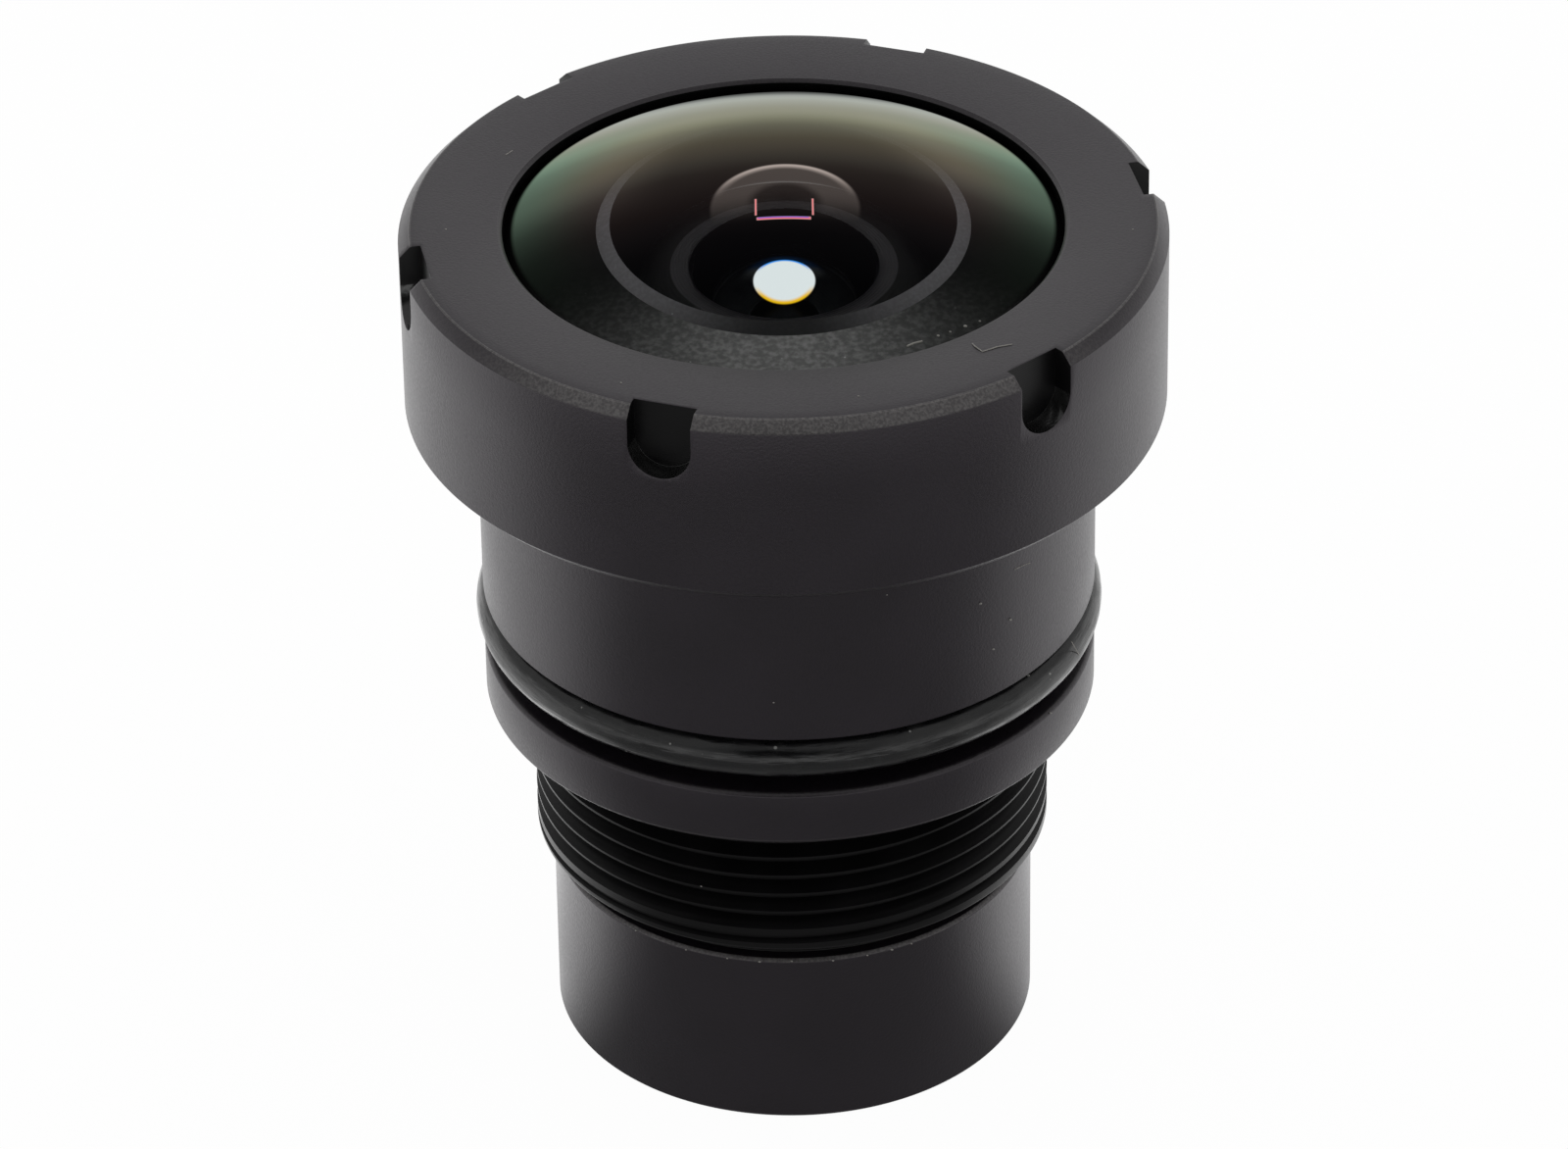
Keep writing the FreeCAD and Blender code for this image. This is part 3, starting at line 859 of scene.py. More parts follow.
@dataclass(frozen=True)
class StopGlass(ClearGlass):
    """The third glass, with a painted glow where the white table would shine up through the stop,
    fringed blue and amber, with a faint painted halo.
    """

    centre_back: float = 0.18
    half: Point = (0.853, 1.096)
    white: Colour = (0.74, 0.8, 0.82)
    blue: Colour = (0.02, 0.26, 0.85)
    amber: Colour = (0.85, 0.5, 0.01)

    def surface(self, tree: Tree) -> Node:
        """Lay out the nodes.

        Args:
            tree: the material's empty tree.

        Returns:
            The shader that shows.
        """
        across, back, _ = tree.facing()
        rise = back - self.centre_back
        away = ((across / self.half[0]) ** 2 + (rise / self.half[1]) ** 2) ** 0.5
        fringe = away.step(0.84, 0.96) * rise.math("ABSOLUTE").step(0.3, 0.85)
        edge = tree.blend(rise.step(-0.2, 0.2), self.amber, self.blue)
        colour = tree.blend(fringe, self.white, edge)
        # faint painted halo above the disc
        painted_halo = away.step(1.6, 1.0) * rise.step(-0.2, 0.7) * 0.02
        level = away.step(1.03, 0.97).math("MAXIMUM", painted_halo)
        # the painted glow of the disc over the clear glass
        return tree.over(level, self.clear(tree), tree.glow(colour))


@dataclass(frozen=True)
class GroundEdge(Finish):
    """Ground glass, left grey or painted black, with the grain of the wheel.

    Two settings paint shade on it, by place round the axis as the camera sees it: the first darkens
    it at the front and the back, the second darkens all but its front.
    """

    tone: Colour
    bright: Colour
    grain: float = 12.0
    roughness: float = 0.42
    ior: float = 1.5
    shade_but_sides: float = 0.0
    shade_but_front: float = 0.0

    def surface(self, tree: Tree) -> Node:
        """Lay out the nodes.

        Args:
            tree: the material's empty tree.

        Returns:
            The shader that shows.
        """
        *_, place = tree.axes()
        grain = tree.noise(place, self.grain, 3.0)
        pits = tree.specks(place, scale=5.0, size=0.12, share=0.3)
        tone = tree.blend(grain.step(0.35, 0.75), self.tone, self.bright)
        tone = tree.blend(pits * 0.4, tone, tuple(min(1.0, b * 3) for b in self.bright))
        # painted shade at the front and the back
        if self.shade_but_sides:
            across, back, radius = tree.facing()
            painted_side_shade = (across / radius).math("ABSOLUTE").step(0.9, 0.1).math(
                "MAXIMUM", (back / radius).step(0.1, 0.75)) * self.shade_but_sides
            tone = tree.blend(painted_side_shade, tone, (0.004, 0.004, 0.004))
        # painted shade on all but the front
        if self.shade_but_front:
            _, back, radius = tree.facing()
            front = (back / radius * -1.0).math("MAXIMUM", 0.0) ** self.shade_but_front
            tone = tree.blend(front, (0.003, 0.003, 0.003), tone)
        return tree.node("BsdfPrincipled", {
            "Base Color": tone, "Roughness": self.roughness, "IOR": self.ior,
            "Normal": tree.bump(grain, 0.003),
        })


# ---------------------------------------------------------------- sub-assemblies


@dataclass
class Barrel:
    """The turned barrel: plain foot, M12 x 0.5 thread, flange, seal groove and stepped bores."""

    foot_r: float = 5.585
    foot_chamfer: float = 0.08
    relief_r: float = 5.25
    relief_low: float = 4.5
    relief_top: float = 5.0
    thread_r: float = 5.96
    thread_lead: float = 0.08
    thread_root: float = 5.655
    pitch: float = 0.5
    flange_low: float = 8.7
    flange_top: float = 10.1
    flange_chamfer: float = 0.14
    barrel_r: float = 7.04
    gland_r: float = 6.2
    gland_top: float = 11.54
    barrel_chamfer: float = 0.05
    head_low: float = 16.29
    neck_r: float = 6.99
    neck_top: float = 18.61
    spigot_r: float = 6.15
    first_seat: float = 19.41
    front_bore_r: float = 4.6464
    front_seat: float = 17.29
    middle_bore_r: float = 3.351
    web_top: float = 14.23
    web_low: float = 13.73
    web_r: float = 1.801
    web_slope: float = 0.25
    rear_bore_r: float = 3.8144
    ring_bore_r: float = 4.2912
    ring_bore_top: float = 5.145
    filter_bore_r: float = 4.768
    filter_recess: float = 0.65
    groove_low: float = 5.13
    groove_high: float = 8.36
    groove_level: float = 5.355
    groove_flat: float = 0.045
    flank: float = 30.0
    clear_of_crest: float = 0.05
    run_in: float = 1.1
    run_out: float = 0.6
    lift: float = 0.97
    turn_steps: int = 120
    edge_round: float = 0.03

    def outline(self) -> list[Point]:
        """The barrel's half section, from the foot up outside and back down inside.

        Returns:
            Its corners.
        """
        chamfer, flange = self.foot_chamfer, self.flange_chamfer
        return [
            (self.filter_bore_r, 0), (self.foot_r - chamfer, 0), (self.foot_r, chamfer),
            (self.foot_r, self.relief_low - chamfer), (self.foot_r - chamfer, self.relief_low),
            (self.relief_r, self.relief_low), (self.relief_r, self.relief_top),
            (self.thread_r - self.thread_lead, self.relief_top),
            (self.thread_r, self.relief_top + self.thread_lead),
            (self.thread_r, self.flange_low), (self.barrel_r - flange, self.flange_low),
            (self.barrel_r, self.flange_low + flange),
            (self.barrel_r, self.flange_top - flange / 2),
            (self.barrel_r - flange / 2, self.flange_top),
            (self.gland_r, self.flange_top), (self.gland_r, self.gland_top),
            (self.barrel_r - self.barrel_chamfer, self.gland_top),
            (self.barrel_r, self.gland_top + self.barrel_chamfer),
            (self.barrel_r, self.head_low), (self.neck_r, self.head_low),
            (self.neck_r, self.neck_top), (self.spigot_r, self.neck_top),
            (self.spigot_r, self.first_seat), (self.front_bore_r, self.first_seat),
            (self.front_bore_r, self.front_seat), (self.middle_bore_r, self.front_seat),
            (self.middle_bore_r, self.web_top), (self.web_r + self.web_slope, self.web_top),
            (self.web_r, self.web_low), (self.rear_bore_r, self.web_low),
            (self.rear_bore_r, self.ring_bore_top), (self.ring_bore_r, self.ring_bore_top),
            (self.ring_bore_r, self.filter_recess), (self.filter_bore_r, self.filter_recess),
        ]

    def groove_cutter(self) -> Object:
        """The spiral groove between the thread's crests, shallow where it starts and ends.

        Returns:
            A closed spiral bar with the thread's 60 degree flanks.
        """
        root, rim, flat = self.thread_root, self.thread_r + self.clear_of_crest, self.groove_flat
        half = flat + (rim - root) * math.tan(math.radians(self.flank))
        turns = (self.groove_high - self.groove_low) / self.pitch
        facing = math.radians(CAMERA_AZIMUTH - 90)
        start = facing + (self.groove_low - self.groove_level) / self.pitch * math.tau
        middle = (root + rim) / 2
        deselect()
        bpy.ops.mesh.primitive_plane_add(size=1, rotation=(math.pi / 2, 0, 0))
        bar = bpy.context.object
        bar.scale = ((rim - root) * MM, 2 * half * MM, 1)
        bar.location = (middle * MM, 0, self.groove_low * MM)
        bpy.ops.object.transform_apply(location=True, rotation=True, scale=True)
        pick(bar, Part.VERTEX, lambda ends: ends[0].x < middle)
        bpy.ops.transform.resize(value=(1, 1, flat / half),
                                 center_override=(root * MM, 0, self.groove_low * MM))
        select_mesh()
        bpy.ops.mesh.delete(type="ONLY_FACE")
        bpy.ops.object.mode_set(mode="OBJECT")
        spiral = bar.modifiers.new("turns", "SCREW")
        spiral.angle = turns * math.tau
        spiral.screw_offset = turns * self.pitch * MM
        spiral.steps = spiral.render_steps = round(turns * self.turn_steps)
        spiral.use_merge_vertices = False
        bpy.ops.object.modifier_apply(modifier=spiral.name)
        self.lift_ends(bar, 4, round(self.run_in * self.turn_steps),
                       round(self.run_out * self.turn_steps))
        bar.rotation_euler.z = start
        settle(bar)
        bpy.ops.object.mode_set(mode="EDIT")
        select_mesh()
        bpy.ops.mesh.fill_holes(sides=4)
        close_up()
        return bar

    def lift_ends(self, bar: Object, corners: int, first: int, last: int) -> None:
        """Lift the groove's ends out of the metal, section by section.

        Args:
            bar: the spiral bar, whose vertices lie section after section.
            corners: vertices of one section.
            first: number of sections over which the start deepens.
            last: number of sections over which the end grows shallow.
        """
        depth = (self.thread_r - self.thread_root) / self.thread_root
        count = len(bar.data.vertices) // corners
        rises = {i: 1 - i / first for i in range(first)}
        rises.update({count - 1 - i: 1 - i / last for i in range(last)})
        for section, rise in rises.items():
            factor = 1 + depth * self.lift * rise
            for i in range(section * corners, (section + 1) * corners):
                co = bar.data.vertices[i].co
                co.x, co.y = co.x * factor, co.y * factor

    def build(self, lathe: Lathe, blasted: Material, turned: Material,
              thread: Material) -> None:
        """Turn the barrel, cut its thread and dress it.

        Args:
            lathe: turns the outline.
            blasted: finish of the outside and of the first glass's seat.
            turned: finish of the seal groove and the bores.
            thread: finish of the thread and its relief, darker as painted shade.
        """
        piece = lathe.turn("barrel_body", self.outline())
        soften(piece, self.edge_round)
        cut(piece, self.groove_cutter())
        smooth(piece)
        finish_on(piece, blasted)
        finish_on(piece, turned, lambda r, z, n: (
            r < self.filter_bore_r + NEAR
            or r < self.gland_r + 2 * NEAR and n.z < 0.9 and z > self.flange_top))
        finish_on(piece, thread, lambda r, z, n: (
            self.relief_low < z < self.flange_low
            and self.filter_bore_r < r < self.thread_r + 2 * NEAR))
        stand_for(piece, "lens_barrel")


@dataclass
class FrontRing:
    """The front retaining ring, with its lip over the glass and six spanner notches."""

    bore_r: float = 7.0
    lead: float = 0.1
    low: float = 16.29
    outer_r: float = 8.65
    low_chamfer: float = 0.25
    top: float = 20.89
    top_chamfer: float = 0.26
    opening_r: float = 6.31
    opening_chamfer: float = 0.08
    land: float = 20.44
    seal_r: float = 6.865
    step: float = 18.61
    notches: int = 6
    notch_width: float = 1.45
    notch_bottom: float = 19.29
    notch_wall_r: float = 8.13
    below_notch: float = 0.08
    before_wall: float = 0.06
    walls_r: float = 8.0
    edge_round: float = 0.022

    def outline(self) -> list[Point]:
        """The ring's section.

        Returns:
            Its corners.
        """
        return [
            (self.bore_r + self.lead, self.low), (self.outer_r - self.low_chamfer, self.low),
            (self.outer_r, self.low + self.low_chamfer),
            (self.outer_r, self.notch_bottom - self.below_notch),
            (self.outer_r, self.top - self.top_chamfer),
            (self.outer_r - self.top_chamfer, self.top),
            (self.notch_wall_r - self.before_wall, self.top),
            (self.opening_r + self.opening_chamfer, self.top),
            (self.opening_r, self.top - self.opening_chamfer), (self.opening_r, self.land),
            (self.seal_r, self.land), (self.seal_r, self.step), (self.bore_r, self.step),
            (self.bore_r, self.low + self.lead),
        ]

    def notch_cutter(self) -> Object:
        """Six round-bottomed blocks, one for each notch.

        Returns:
            One piece that holds them all.
        """
        reach, height = 1.0, 3.0
        deselect()
        bpy.ops.mesh.primitive_cube_add(
            size=1, location=(0, -(self.notch_wall_r + reach / 2) * MM,
                              (self.notch_bottom + height / 2) * MM),
            scale=(self.notch_width * MM, reach * MM, height * MM))
        block = bpy.context.object
        bpy.ops.object.transform_apply(location=True, rotation=True, scale=True)
        pick(block, Part.EDGE, lambda ends: abs(ends[0].y - ends[1].y) > 0.1 and all(
            end.z < self.notch_bottom + 0.1 for end in ends))
        almost_half = self.notch_width / 2 * 0.995
        bpy.ops.mesh.bevel(offset=almost_half * MM, segments=12, affect="EDGES")
        bpy.ops.mesh.select_mode(type="VERT")
        select_mesh()
        for _ in range(self.notches - 1):
            bpy.ops.mesh.duplicate()
            bpy.ops.transform.rotate(value=math.tau / self.notches, orient_axis="Z",
                                     center_override=(0, 0, 0))
        close_up()
        return block

    def build(self, lathe: Lathe, blasted: Material, dark: Material,
              milled: Material) -> None:
        """Turn the ring, mill its notches and dress it.

        Args:
            lathe: turns the outline.
            blasted: finish of the outside.
            dark: finish of the lip's edge, the notch walls and the bore, darker as painted shade.
            milled: finish of the round bottoms of the notches.
        """
        piece = lathe.turn("front_ring_body", self.outline())
        cut(piece, self.notch_cutter())
        soften(piece, self.edge_round)
        smooth(piece)
        finish_on(piece, blasted)
        finish_on(piece, dark, lambda r, z, n: (
            r < self.opening_r + 2 * NEAR or r < self.seal_r + 2 * NEAR and z < self.land + NEAR
            or self.walls_r < r < self.outer_r - 3 * NEAR
            and self.notch_bottom - 0.1 < z < self.top - 0.28))
        finish_on(piece, milled, lambda r, z, n: (
            self.walls_r < r < self.outer_r - 3 * NEAR and z < self.notch_bottom + 0.75
            and n.z > 0.15))
        stand_for(piece, "front_retaining_ring")


@dataclass
class RoundCord:
    """A seal of round cord."""

    name: str
    node: str
    centre_r: float
    level: float
    cord: float
    sides: int = 36

    def build(self, lathe: Lathe, rubber: Material) -> None:
        """Turn the cord's section about the axis and dress it.

        Args:
            lathe: turns the section.
            rubber: finish of the seal.
        """
        half, turns = self.cord / 2, [math.tau * i / self.sides for i in range(self.sides)]
        piece = lathe.turn(self.name, [
            (self.centre_r + half * math.cos(t), self.level + half * math.sin(t)) for t in turns])
        smooth(piece, 50, weighted=False)
        finish_on(piece, rubber)
        stand_for(piece, self.node)


@dataclass
class FirstGlass:
    """The wide front glass: dome, blackened edge, deep hollow and ground rim."""

    apex: float = 22.09
    dome_r: float = 6.13
    dome_edge: float = 20.68
    bevel_r: float = 6.295
    land: float = 20.44
    outer_r: float = 6.85
    seat: float = 19.414
    rim_r: float = 3.5464
    rim_bevel: float = 0.25
    hollow: float = 1.5

    def build(self, lathe: Lathe, dome: Material, hollow: Material,
              rim: Material, ground: Material) -> None:
        """Turn the glass and dress its polished and ground faces.

        Args:
            lathe: turns the outline.
            dome: finish of the dome.
            hollow: finish of the hollow.
            rim: finish of the bevel at the hollow's rim.
            ground: finish of the rear land, the edge and the bevel under the lip.
        """
        rim_level = self.seat + self.rim_bevel
        outline = [
            *ball((0, self.apex), (self.dome_r, self.dome_edge), 36),
            (self.bevel_r, self.land), (self.outer_r, self.land), (self.outer_r, self.seat),
            (self.rim_r + self.rim_bevel, self.seat),
            *reversed(ball((0, rim_level + self.hollow), (self.rim_r, rim_level), 30)),
        ]
        piece = lathe.turn("front_glass", outline)
        smooth(piece, 12, weighted=False)
        finish_on(piece, dome)
        finish_on(piece, hollow, lambda r, z, n: n.z < 0 and r < self.rim_r)
        finish_on(piece, rim, lambda r, z, n: (
            n.z < 0 and self.rim_r < r < self.rim_r + self.rim_bevel))
        finish_on(piece, ground, lambda r, z, n: (
            r > self.dome_r or n.z < -0.99 and r > self.rim_r))
        stand_for(piece, "front_element")


@dataclass
class FrontSpacer:
    """The ring between the first two glasses, with a turned cone round the second glass."""

    outer_r: float = 4.6314
    inner_r: float = 4.03
    top: float = 19.41
    floor: float = 18.74
    cone_r: float = 3.0464
    low: float = 18.49
    mouth_r: float = 2.597

    def build(self, lathe: Lathe, deep: Material, cone: Material) -> None:
        """Turn the spacer and dress it.

        Args:
            lathe: turns the outline.
            deep: finish of the ring, darker as painted shade.
            cone: finish of the cone, lighter than the ring as painted light, with fresh turning
                marks.
        """
        piece = lathe.turn("front_spacer_ring", [
            (self.outer_r, self.low), (self.outer_r, self.top), (self.inner_r, self.top),
            (self.inner_r, self.floor), (self.cone_r, self.floor), (self.mouth_r, self.low),
        ])
        smooth(piece)
        finish_on(piece, deep)
        finish_on(piece, cone, lambda r, z, n: r < self.cone_r and n.z > 0.1)
        stand_for(piece, "front_spacer")


@dataclass
class StackGlass:
    """A glass further down the barrel, with flat lands round its ball faces."""

    name: str
    node: str
    outer_r: float
    low: float
    top: float
    front_r: float
    front_rise: float
    rear_r: float
    rear_rise: float

    def build(self, lathe: Lathe, glass: Material, painted: Material,
              front: Material | None = None) -> None:
        """Turn the glass and dress it.

        Args:
            lathe: turns the outline.
            glass: finish of the polished faces.
            painted: finish of the lands and the edge.
            front: finish of the front ball face, where it differs.
        """
        piece = lathe.turn(self.name, [
            *ball((0, self.top + self.front_rise), (self.front_r, self.top), 30),
            (self.outer_r, self.top), (self.outer_r, self.low),
            *reversed(ball((0, self.low + self.rear_rise), (self.rear_r, self.low), 24)),
        ])
        smooth(piece, 12, weighted=False)
        finish_on(piece, glass)
        finish_on(piece, painted, lambda r, z, n: (
            r > self.outer_r - NEAR or (r > self.rear_r and n.z < -0.999)
            or (r > self.front_r and n.z > 0.999)))
        if front:
            finish_on(piece, front, lambda r, z, n: r < self.front_r and z > self.top - 0.001)
        stand_for(piece, self.node)


@dataclass
class Dust:
    """The fibres and chips that lie on the lens in the photograph."""

    fibres: tuple[tuple[float, tuple[Spot, ...]], ...] = (
        (0.014, ((5.611, -3.81, 20.895), (5.72, -3.93, 20.91), (5.928, -4.067, 20.895),
                 (6.186, -3.783, 20.9), (6.46, -3.583, 20.895))),
        (0.012, ((-6.94, 0.895, 20.892), (-6.859, 1.127, 20.892))),
        (0.022, ((4.224, -4.153, 20.778), (4.345, -4.001, 20.79), (4.482, -3.864, 20.781))),
        (0.012, ((6.351, -3.038, 14.655), (6.46, -2.798, 14.63), (6.565, -2.541, 14.569))),
        (0.01, ((7.118, -1.084, 11.637), (7.144, -0.894, 11.346), (7.17, -0.661, 11.015))),
    )
    chips: tuple[tuple[Spot, float], ...] = (
        ((5.189, -2.957, 20.765), 0.045), ((4.75, -3.55, 20.79), 0.035),
        ((4.95, -3.3, 20.78), 0.028), ((5.42, -2.62, 20.74), 0.03),
        ((5.836, -3.937, 14.216), 0.038), ((6.293, -3.157, 13.386), 0.045),
        ((6.037, -3.622, 12.835), 0.035), ((6.82, -1.744, 10.05), 0.035),
        ((4.2, -5.65, 15.2), 0.022), ((-4.3, -5.57, 14.1), 0.022), ((1.9, -6.78, 12.6), 0.022),
        ((6.2, -5.98, 18.3), 0.03), ((2.4, -8.25, 17.9), 0.026), ((-2.8, -8.12, 18.6), 0.024),
        ((-6.1, -6.1, 18.0), 0.03), ((0.4, -8.6, 17.2), 0.022), ((-1.2, -7.6, 20.89), 0.026),
        ((3.9, -6.6, 20.89), 0.024), ((-7.1, -2.6, 20.89), 0.026), ((7.6, 1.9, 20.89), 0.026),
        ((-0.754, -5.534, 4.42), 0.028), ((0.261, -5.579, 4.42), 0.024),
        ((1.015, -5.492, 4.43), 0.034), ((2.606, -4.94, 4.42), 0.03), ((3.294, -4.51, 4.42), 0.026),
        ((3.762, -4.128, 4.42), 0.036), ((4.121, -3.77, 4.42), 0.028), ((1.73, -5.31, 4.47), 0.028),
        ((-2.1, -5.17, 4.43), 0.026), ((-0.2, -5.95, 6.6), 0.024),
    )
    chip_shape: Spot = (1.0, 0.7, 0.6)

    def fibre(self, radius: float, path: Sequence[Spot]) -> Object:
        """Bend one round fibre along a path.

        Args:
            radius: radius of the fibre in millimetres.
            path: its corners in millimetres.

        Returns:
            The closed fibre.
        """
        trace(path)
        bpy.ops.object.mode_set(mode="OBJECT")
        bpy.ops.object.convert(target="CURVE")
        piece = bpy.context.object
        piece.data.bevel_depth, piece.data.bevel_resolution = radius * MM, 1
        piece.data.use_fill_caps = True
        bpy.ops.object.convert(target="MESH")
        settle(piece)
        return piece

    def build(self, material: Material) -> None:
        """Lay every fibre and chip in its place and join them.

        Args:
            material: finish of the dust.
        """
        pieces = [self.fibre(radius, path) for radius, path in self.fibres]
        for place, size in self.chips:
            deselect()
            bpy.ops.mesh.primitive_ico_sphere_add(subdivisions=2, radius=size * MM,
                                                  location=Vector(place) * MM)
            chip = bpy.context.object
            chip.scale = self.chip_shape
            settle(chip)
            pieces.append(chip)
        deselect()
        for piece in pieces:
            piece.select_set(True)
        bpy.context.view_layer.objects.active = pieces[0]
        bpy.ops.object.join()
        dust = bpy.context.object
        dust.name = dust.data.name = "dust"
        bpy.ops.object.mode_set(mode="EDIT")
        close_up()
        smooth(dust, 60, weighted=False)
        finish_on(dust, material)
        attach(dust, "root")
        log.info("dust: %d faces", len(dust.data.polygons))


class Kind(Enum):
    """What a carried-over CAD node is finished with."""

    GLASS = "glass"
    TURNED = "turned"
    FOIL = "foil"
    FILTER = "filter"


INNER_NODES = {
    "front_light_baffle": Kind.FOIL,
    "second_spacer": Kind.TURNED,
    "aperture_stop": Kind.TURNED,
    "fourth_element": Kind.GLASS,
    "third_spacer": Kind.TURNED,
    "fifth_element": Kind.GLASS,
    "sixth_element": Kind.GLASS,
    "rear_light_baffle": Kind.FOIL,
    "fourth_spacer": Kind.TURNED,
    "seventh_element": Kind.GLASS,
    "rear_retaining_ring": Kind.TURNED,
    "infrared_filter": Kind.FILTER,
}


# ---------------------------------------------------------------- studio


@dataclass(frozen=True)
class Studio:
    """White table, light tent and the camera of the photograph.

    The camera's distance and aim are in millimetres, the table and the lamp in metres, angles in
    degrees. left, right, sky, near_front and behind_camera are levels of light; 1 is white.
    """

    elevation: float = 33.13
    distance: float = 193.6
    aim: Point = (-0.11, 11.408)
    roll: float = -0.9
    focal_pixels: float = 8579.0
    frame_pixels: float = 1600.0
    sensor: float = 36.0
    left: float = 1.3
    right: float = 1.15
    sky: float = 0.5
    near_front: float = 0.3
    behind_camera: float = 0.02
    hole: Point = (27.0, 13.0)
    table: float = 3.0
    cloth: float = 0.87
    cloth_share: float = 0.05
    cloth_glow: float = 1.02
    lamp_back: float = 0.075
    lamp_height: float = 0.075
    lamp_size: float = 0.05
    lamp_radiance: float = 0.5

    def directions(self) -> tuple[Vector, Vector, Vector]:
        """The camera's directions before its roll.

        Returns:
            Right, up and forward.
        """
        tilt, side = math.radians(self.elevation), math.radians(CAMERA_AZIMUTH)
        turn = Matrix.Rotation(side, 3, "Z")
        return (turn @ Vector((1, 0, 0)),
                turn @ Vector((0, math.sin(tilt), math.cos(tilt))),
                turn @ Vector((0, math.cos(tilt), -math.sin(tilt))))

    def camera(self) -> None:
        """Set up the camera."""
        right, up, forward = self.directions()
        data = bpy.data.cameras.new("camera")
        data.sensor_width = self.sensor
        data.lens = self.focal_pixels / self.frame_pixels * self.sensor
        data.clip_start, data.clip_end = 0.01, 10
        camera = bpy.data.objects.new("camera", data)
        bpy.context.scene.collection.objects.link(camera)
        target = (right * self.aim[0] + Vector((0, 0, self.aim[1]))) * MM
        axes = Matrix((right, up, -forward)).transposed()
        turned = axes @ Matrix.Rotation(math.radians(self.roll), 3, "Z")
        eye = target - forward * self.distance * MM
        camera.matrix_world = Matrix.Translation(eye) @ turned.to_4x4()
        bpy.context.scene.camera = camera

    def lamp(self, name: str, place: Vector, size: float, radiance: float) -> None:
        """Hang a soft square lamp that faces the object.

        Args:
            name: name of the lamp.
            place: where it hangs, in metres.
            size: length of its side, in metres.
            radiance: brightness of its face.
        """
        data = bpy.data.lights.new(name, "AREA")
        data.size, data.energy = size, radiance * math.pi * size * size
        lamp = bpy.data.objects.new(name, data)
        bpy.context.scene.collection.objects.link(lamp)
        aim = (Vector((0, 0, 0.012)) - place).to_track_quat("-Z", "Y")
        lamp.matrix_world = Matrix.Translation(place) @ aim.to_matrix().to_4x4()

    def world(self) -> None:
        """White to the camera; to the object a light tent with a dark hole round the camera."""
        world = bpy.data.worlds.new("light_tent")
        bpy.context.scene.world = world
        world.cycles.sampling_method = "NONE"
        tree = Tree(world)
        coordinates = tree.node("TexCoord").outputs["Generated"]
        *_, forward = self.directions()
        toward = tree.sum(tree.node("VectorMath", {0: coordinates, 1: tuple(-forward)},
                                    operation="DOT_PRODUCT"), "Value")
        height = tree.sum(tree.node("SeparateXYZ", {0: coordinates}), 2)
        hole = toward.step(*(math.cos(math.radians(angle)) for angle in self.hole))
        level = height.step(0.35, 0.05) * (self.right - self.sky) + self.sky
        glow = level * (1 - hole) + self.behind_camera
        seen = tree.sum(tree.node("LightPath"), "Is Camera Ray")
        grey = tree.grey(glow)
        tree.shade(tree.node("Background", {
            "Color": tree.blend(seen, grey, (1.0, 1.0, 1.0)), "Strength": 1.0}))

    def floor(self) -> None:
        """Lay a white table that keeps a faint shadow and is dimmer close in front."""
        deselect()
        bpy.ops.mesh.primitive_plane_add(size=self.table)
        table = bpy.context.object
        table.name = "table"
        material = bpy.data.materials.new("white_table")
        tree = Tree(material)
        x, y, *_ = tree.axes()
        right, _, forward = self.directions()
        away = (x * x + y * y) ** 0.5 + 0.001
        fore = (x * -forward.x + y * -forward.y) / math.hypot(forward.x, forward.y) / away
        side = (x * right.x + y * right.y) / away
        front = fore.step(-0.05, 0.6) * away.step(95, 58)
        around = side.step(-0.3, 0.75) * (self.right - self.left) + self.left
        around = around * (away.step(17, 10) * away.step(6.5, 9) * 0.4 + 1.0)
        glow = around * (1 - front) + front * self.near_front
        grey = tree.grey(glow)
        path = tree.node("LightPath")
        seen = tree.sum(path, "Is Camera Ray")
        lit = seen.math("MAXIMUM", tree.sum(path, "Is Glossy Ray")).math(
            "MAXIMUM", tree.sum(path, "Is Transmission Ray"))
        cloth = tree.node("BsdfDiffuse", {"Color": (*(self.cloth,) * 3, 1)})
        shine = tree.node("Emission", {
            "Color": tree.blend(seen, grey, (self.cloth_glow,) * 3), "Strength": 1.0})
        tree.shade(tree.over(lit - seen * self.cloth_share, cloth, shine))
        material.cycles.emission_sampling = "NONE"
        table.data.materials.append(material)

    def build(self) -> None:
        """Set up the whole studio."""
        bpy.context.scene.view_settings.view_transform = "Standard"
        self.camera()
        self.world()
        self.floor()
        *_, forward = self.directions()
        back = Vector((forward.x, forward.y, 0)).normalized()
        place = back * self.lamp_back + Vector((0, 0, self.lamp_height))
        self.lamp("lamp_back", place, self.lamp_size, self.lamp_radiance)


# ---------------------------------------------------------------- assembly


def dress_inner_nodes(finishes: dict[Kind, Material]) -> None:
    """Give the CAD nodes that stay their finishes.

    Args:
        finishes: the finish for each kind of node.
    """
    for name, kind in INNER_NODES.items():
        finish_on(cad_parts[name], finishes[kind])
        log.info("%s: CAD node with %s", name, kind.value)


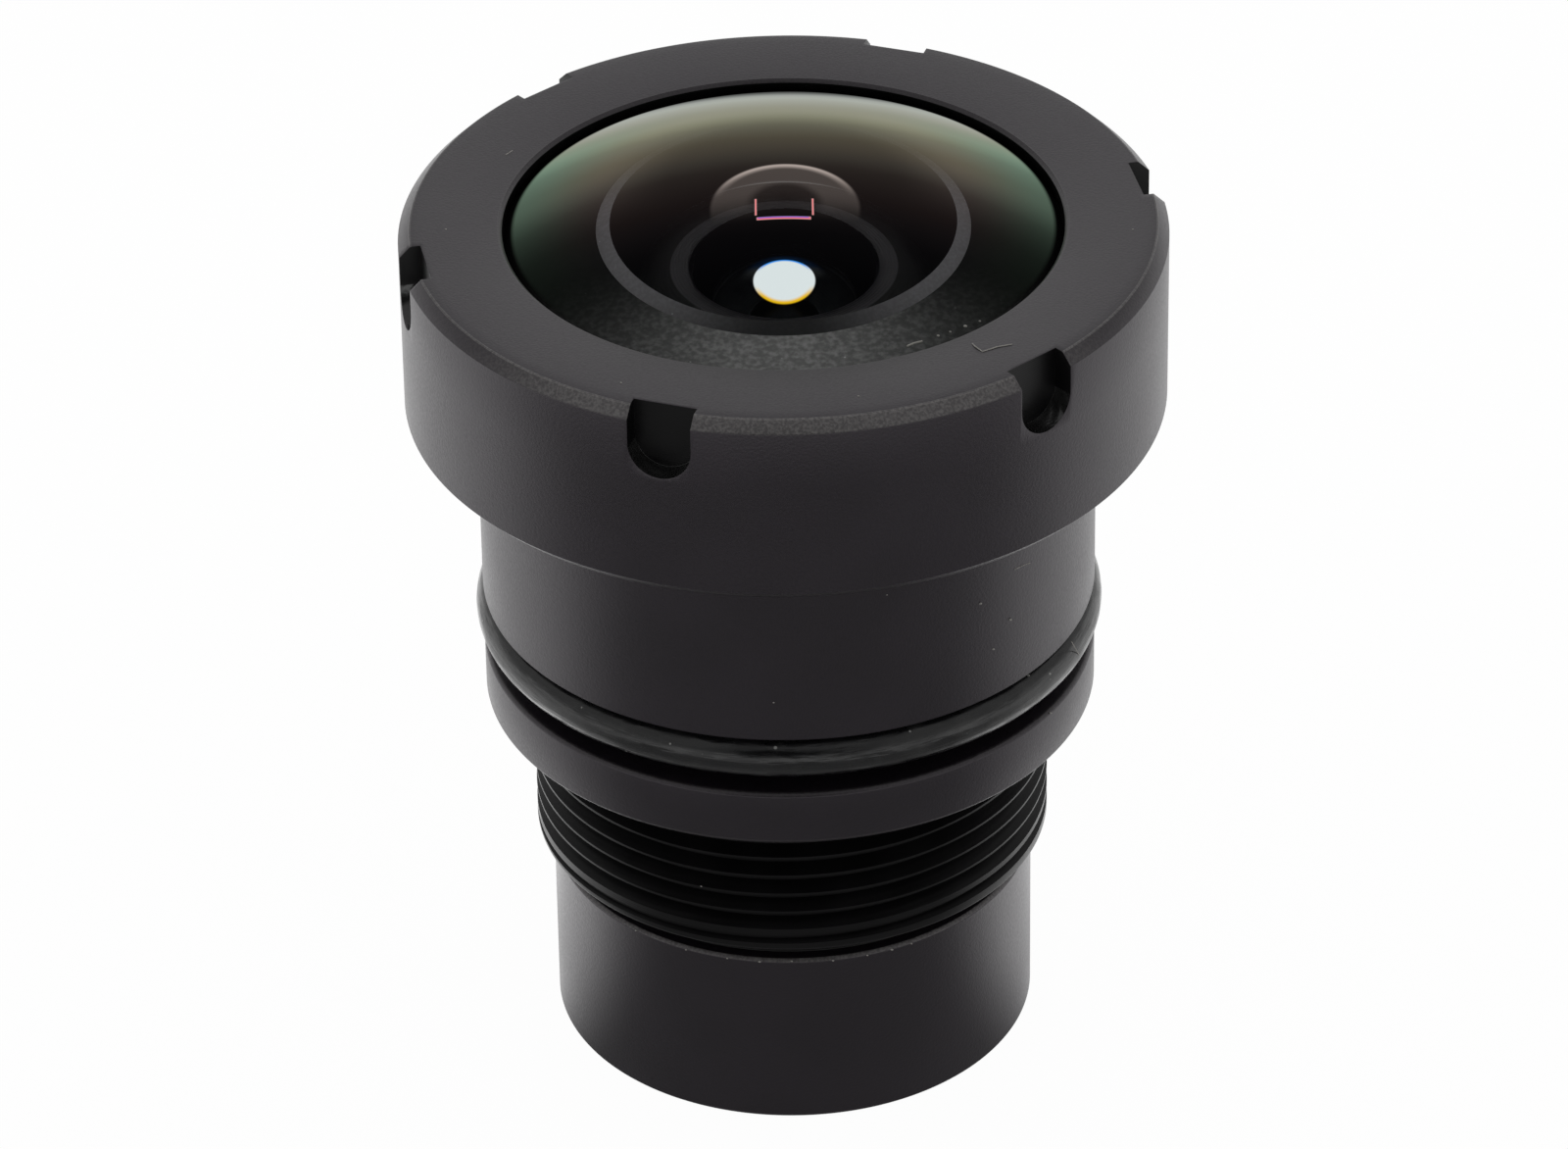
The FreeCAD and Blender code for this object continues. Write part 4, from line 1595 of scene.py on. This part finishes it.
def main() -> None:
    """Build every sub-assembly in order."""
    logging.basicConfig(level=logging.INFO, format="%(name)s: %(message)s")
    coarse, fine = Lathe(192), Lathe(256)
    # lighter edges of the ring: abrasion, and on the wide top chamfer a painted highlight on the
    # camera's side
    ring_black_worn_and_highlit = BlastedAnodising("ring_black_worn_and_highlit", edges=(
        (8.52, 20.76, 0.2, 0.6), (8.39, 20.89, 0.035, 0.5),
        (6.36, 20.86, 0.08, 0.1), (8.53, 16.42, 0.12, 0.1)))
    # lighter edges of the barrel: abrasion and painted highlights
    barrel_black_worn_and_highlit = BlastedAnodising("barrel_black_worn_and_highlit", edges=(
        (5.55, 4.47, 0.06, 0.55), (6.98, 10.08, 0.07, 0.12), (6.98, 8.76, 0.12, 0.08)))
    turned = TurnedBlack("turned_black").material()
    milled = TurnedBlack("milled_black", (0.006, 0.006, 0.006), roughness=0.16, pitch=0.3,
                         depth=0.006, ior=1.6).material()
    # darker copy of the turned black: painted shade in the thread, and in the front ring's notches,
    # lip and bore
    thread = TurnedBlack("thread_black_painted_shade", (0.0012, 0.0011, 0.0013), roughness=0.3,
                         ior=1.3).material()
    rubber = SealRubber("nitrile").material()
    dome, hollow = DomeGlass("dome_painted_reflection", 1.8), HollowGlass("hollow_painted_reflections", 1.8)
    inner_glass = ClearGlass("inner_coating", 1.7).material()
    # ground rim and land, with painted shade by place round the axis
    rim = GroundEdge("ground_rim_painted_shade", (0.19, 0.185, 0.195), (0.23, 0.225, 0.24), ior=1.15,
                     shade_but_sides=0.85)
    land = GroundEdge("ground_land_painted_shade", (0.17, 0.17, 0.17), (0.31, 0.31, 0.31), grain=8.0,
                      roughness=0.8, ior=1.1, shade_but_front=4.0)
    painted = GroundEdge("painted_edge", (0.01, 0.01, 0.01), (0.02, 0.02, 0.02)).material()
    # lighter copy of the turned black for the spacer's cone: painted light
    cone_black_painted_light = TurnedBlack("cone_black_painted_light", (0.012, 0.011, 0.013), roughness=0.4, pitch=0.12,
                             depth=0.006, ior=1.3).material()
    # darker copy of the turned black: painted shade inside the barrel and on the inner nodes
    painted_shade_black = TurnedBlack("painted_shade_black", (0.002, 0.002, 0.002), roughness=0.5, pitch=0.09,
                             depth=0.004, ior=1.2).material()
    Barrel().build(fine, barrel_black_worn_and_highlit.material(), turned, thread)
    FrontRing().build(fine, ring_black_worn_and_highlit.material(), thread, milled)
    RoundCord("outer_seal", "barrel_o_ring", centre_r=6.7, level=10.98, cord=1.0
              ).build(fine, rubber)
    RoundCord("glass_seal", "front_seal", centre_r=6.5, level=19.06, cord=0.7
              ).build(coarse, rubber)
    FirstGlass().build(fine, dome.material(), hollow.material(), rim.material(), land.material())
    FrontSpacer().build(coarse, painted_shade_black, cone_black_painted_light)
    StackGlass("second_glass", "second_element", outer_r=4.6314, low=17.29, top=18.49,
               front_r=2.5964, front_rise=1.2, rear_r=1.9464, rear_rise=1.08
               ).build(coarse, inner_glass, painted)
    StackGlass("third_glass", "third_element", outer_r=3.336, low=14.83, top=16.73,
               front_r=2.101, front_rise=0.44, rear_r=2.101, rear_rise=-0.38
               ).build(coarse, inner_glass, painted, StopGlass("stop_painted_glow", 1.7).material())
    foil = TurnedBlack("black_foil", (0.003, 0.003, 0.003), roughness=0.6, pitch=0.02,
                       depth=0.0004).material()
    filter_coat = RearGlass("filter_coating", 1.52, body=(0.9, 0.97, 0.95), tone=(0.85, 0.6, 0.5))
    dress_inner_nodes({
        Kind.GLASS: RearGlass("rear_coating").material(), Kind.TURNED: painted_shade_black,
        Kind.FOIL: foil, Kind.FILTER: filter_coat.material(),
    })
    Dust().build(Lint("lint").material())
    Studio().build()


if __name__ == "__main__":
    main()
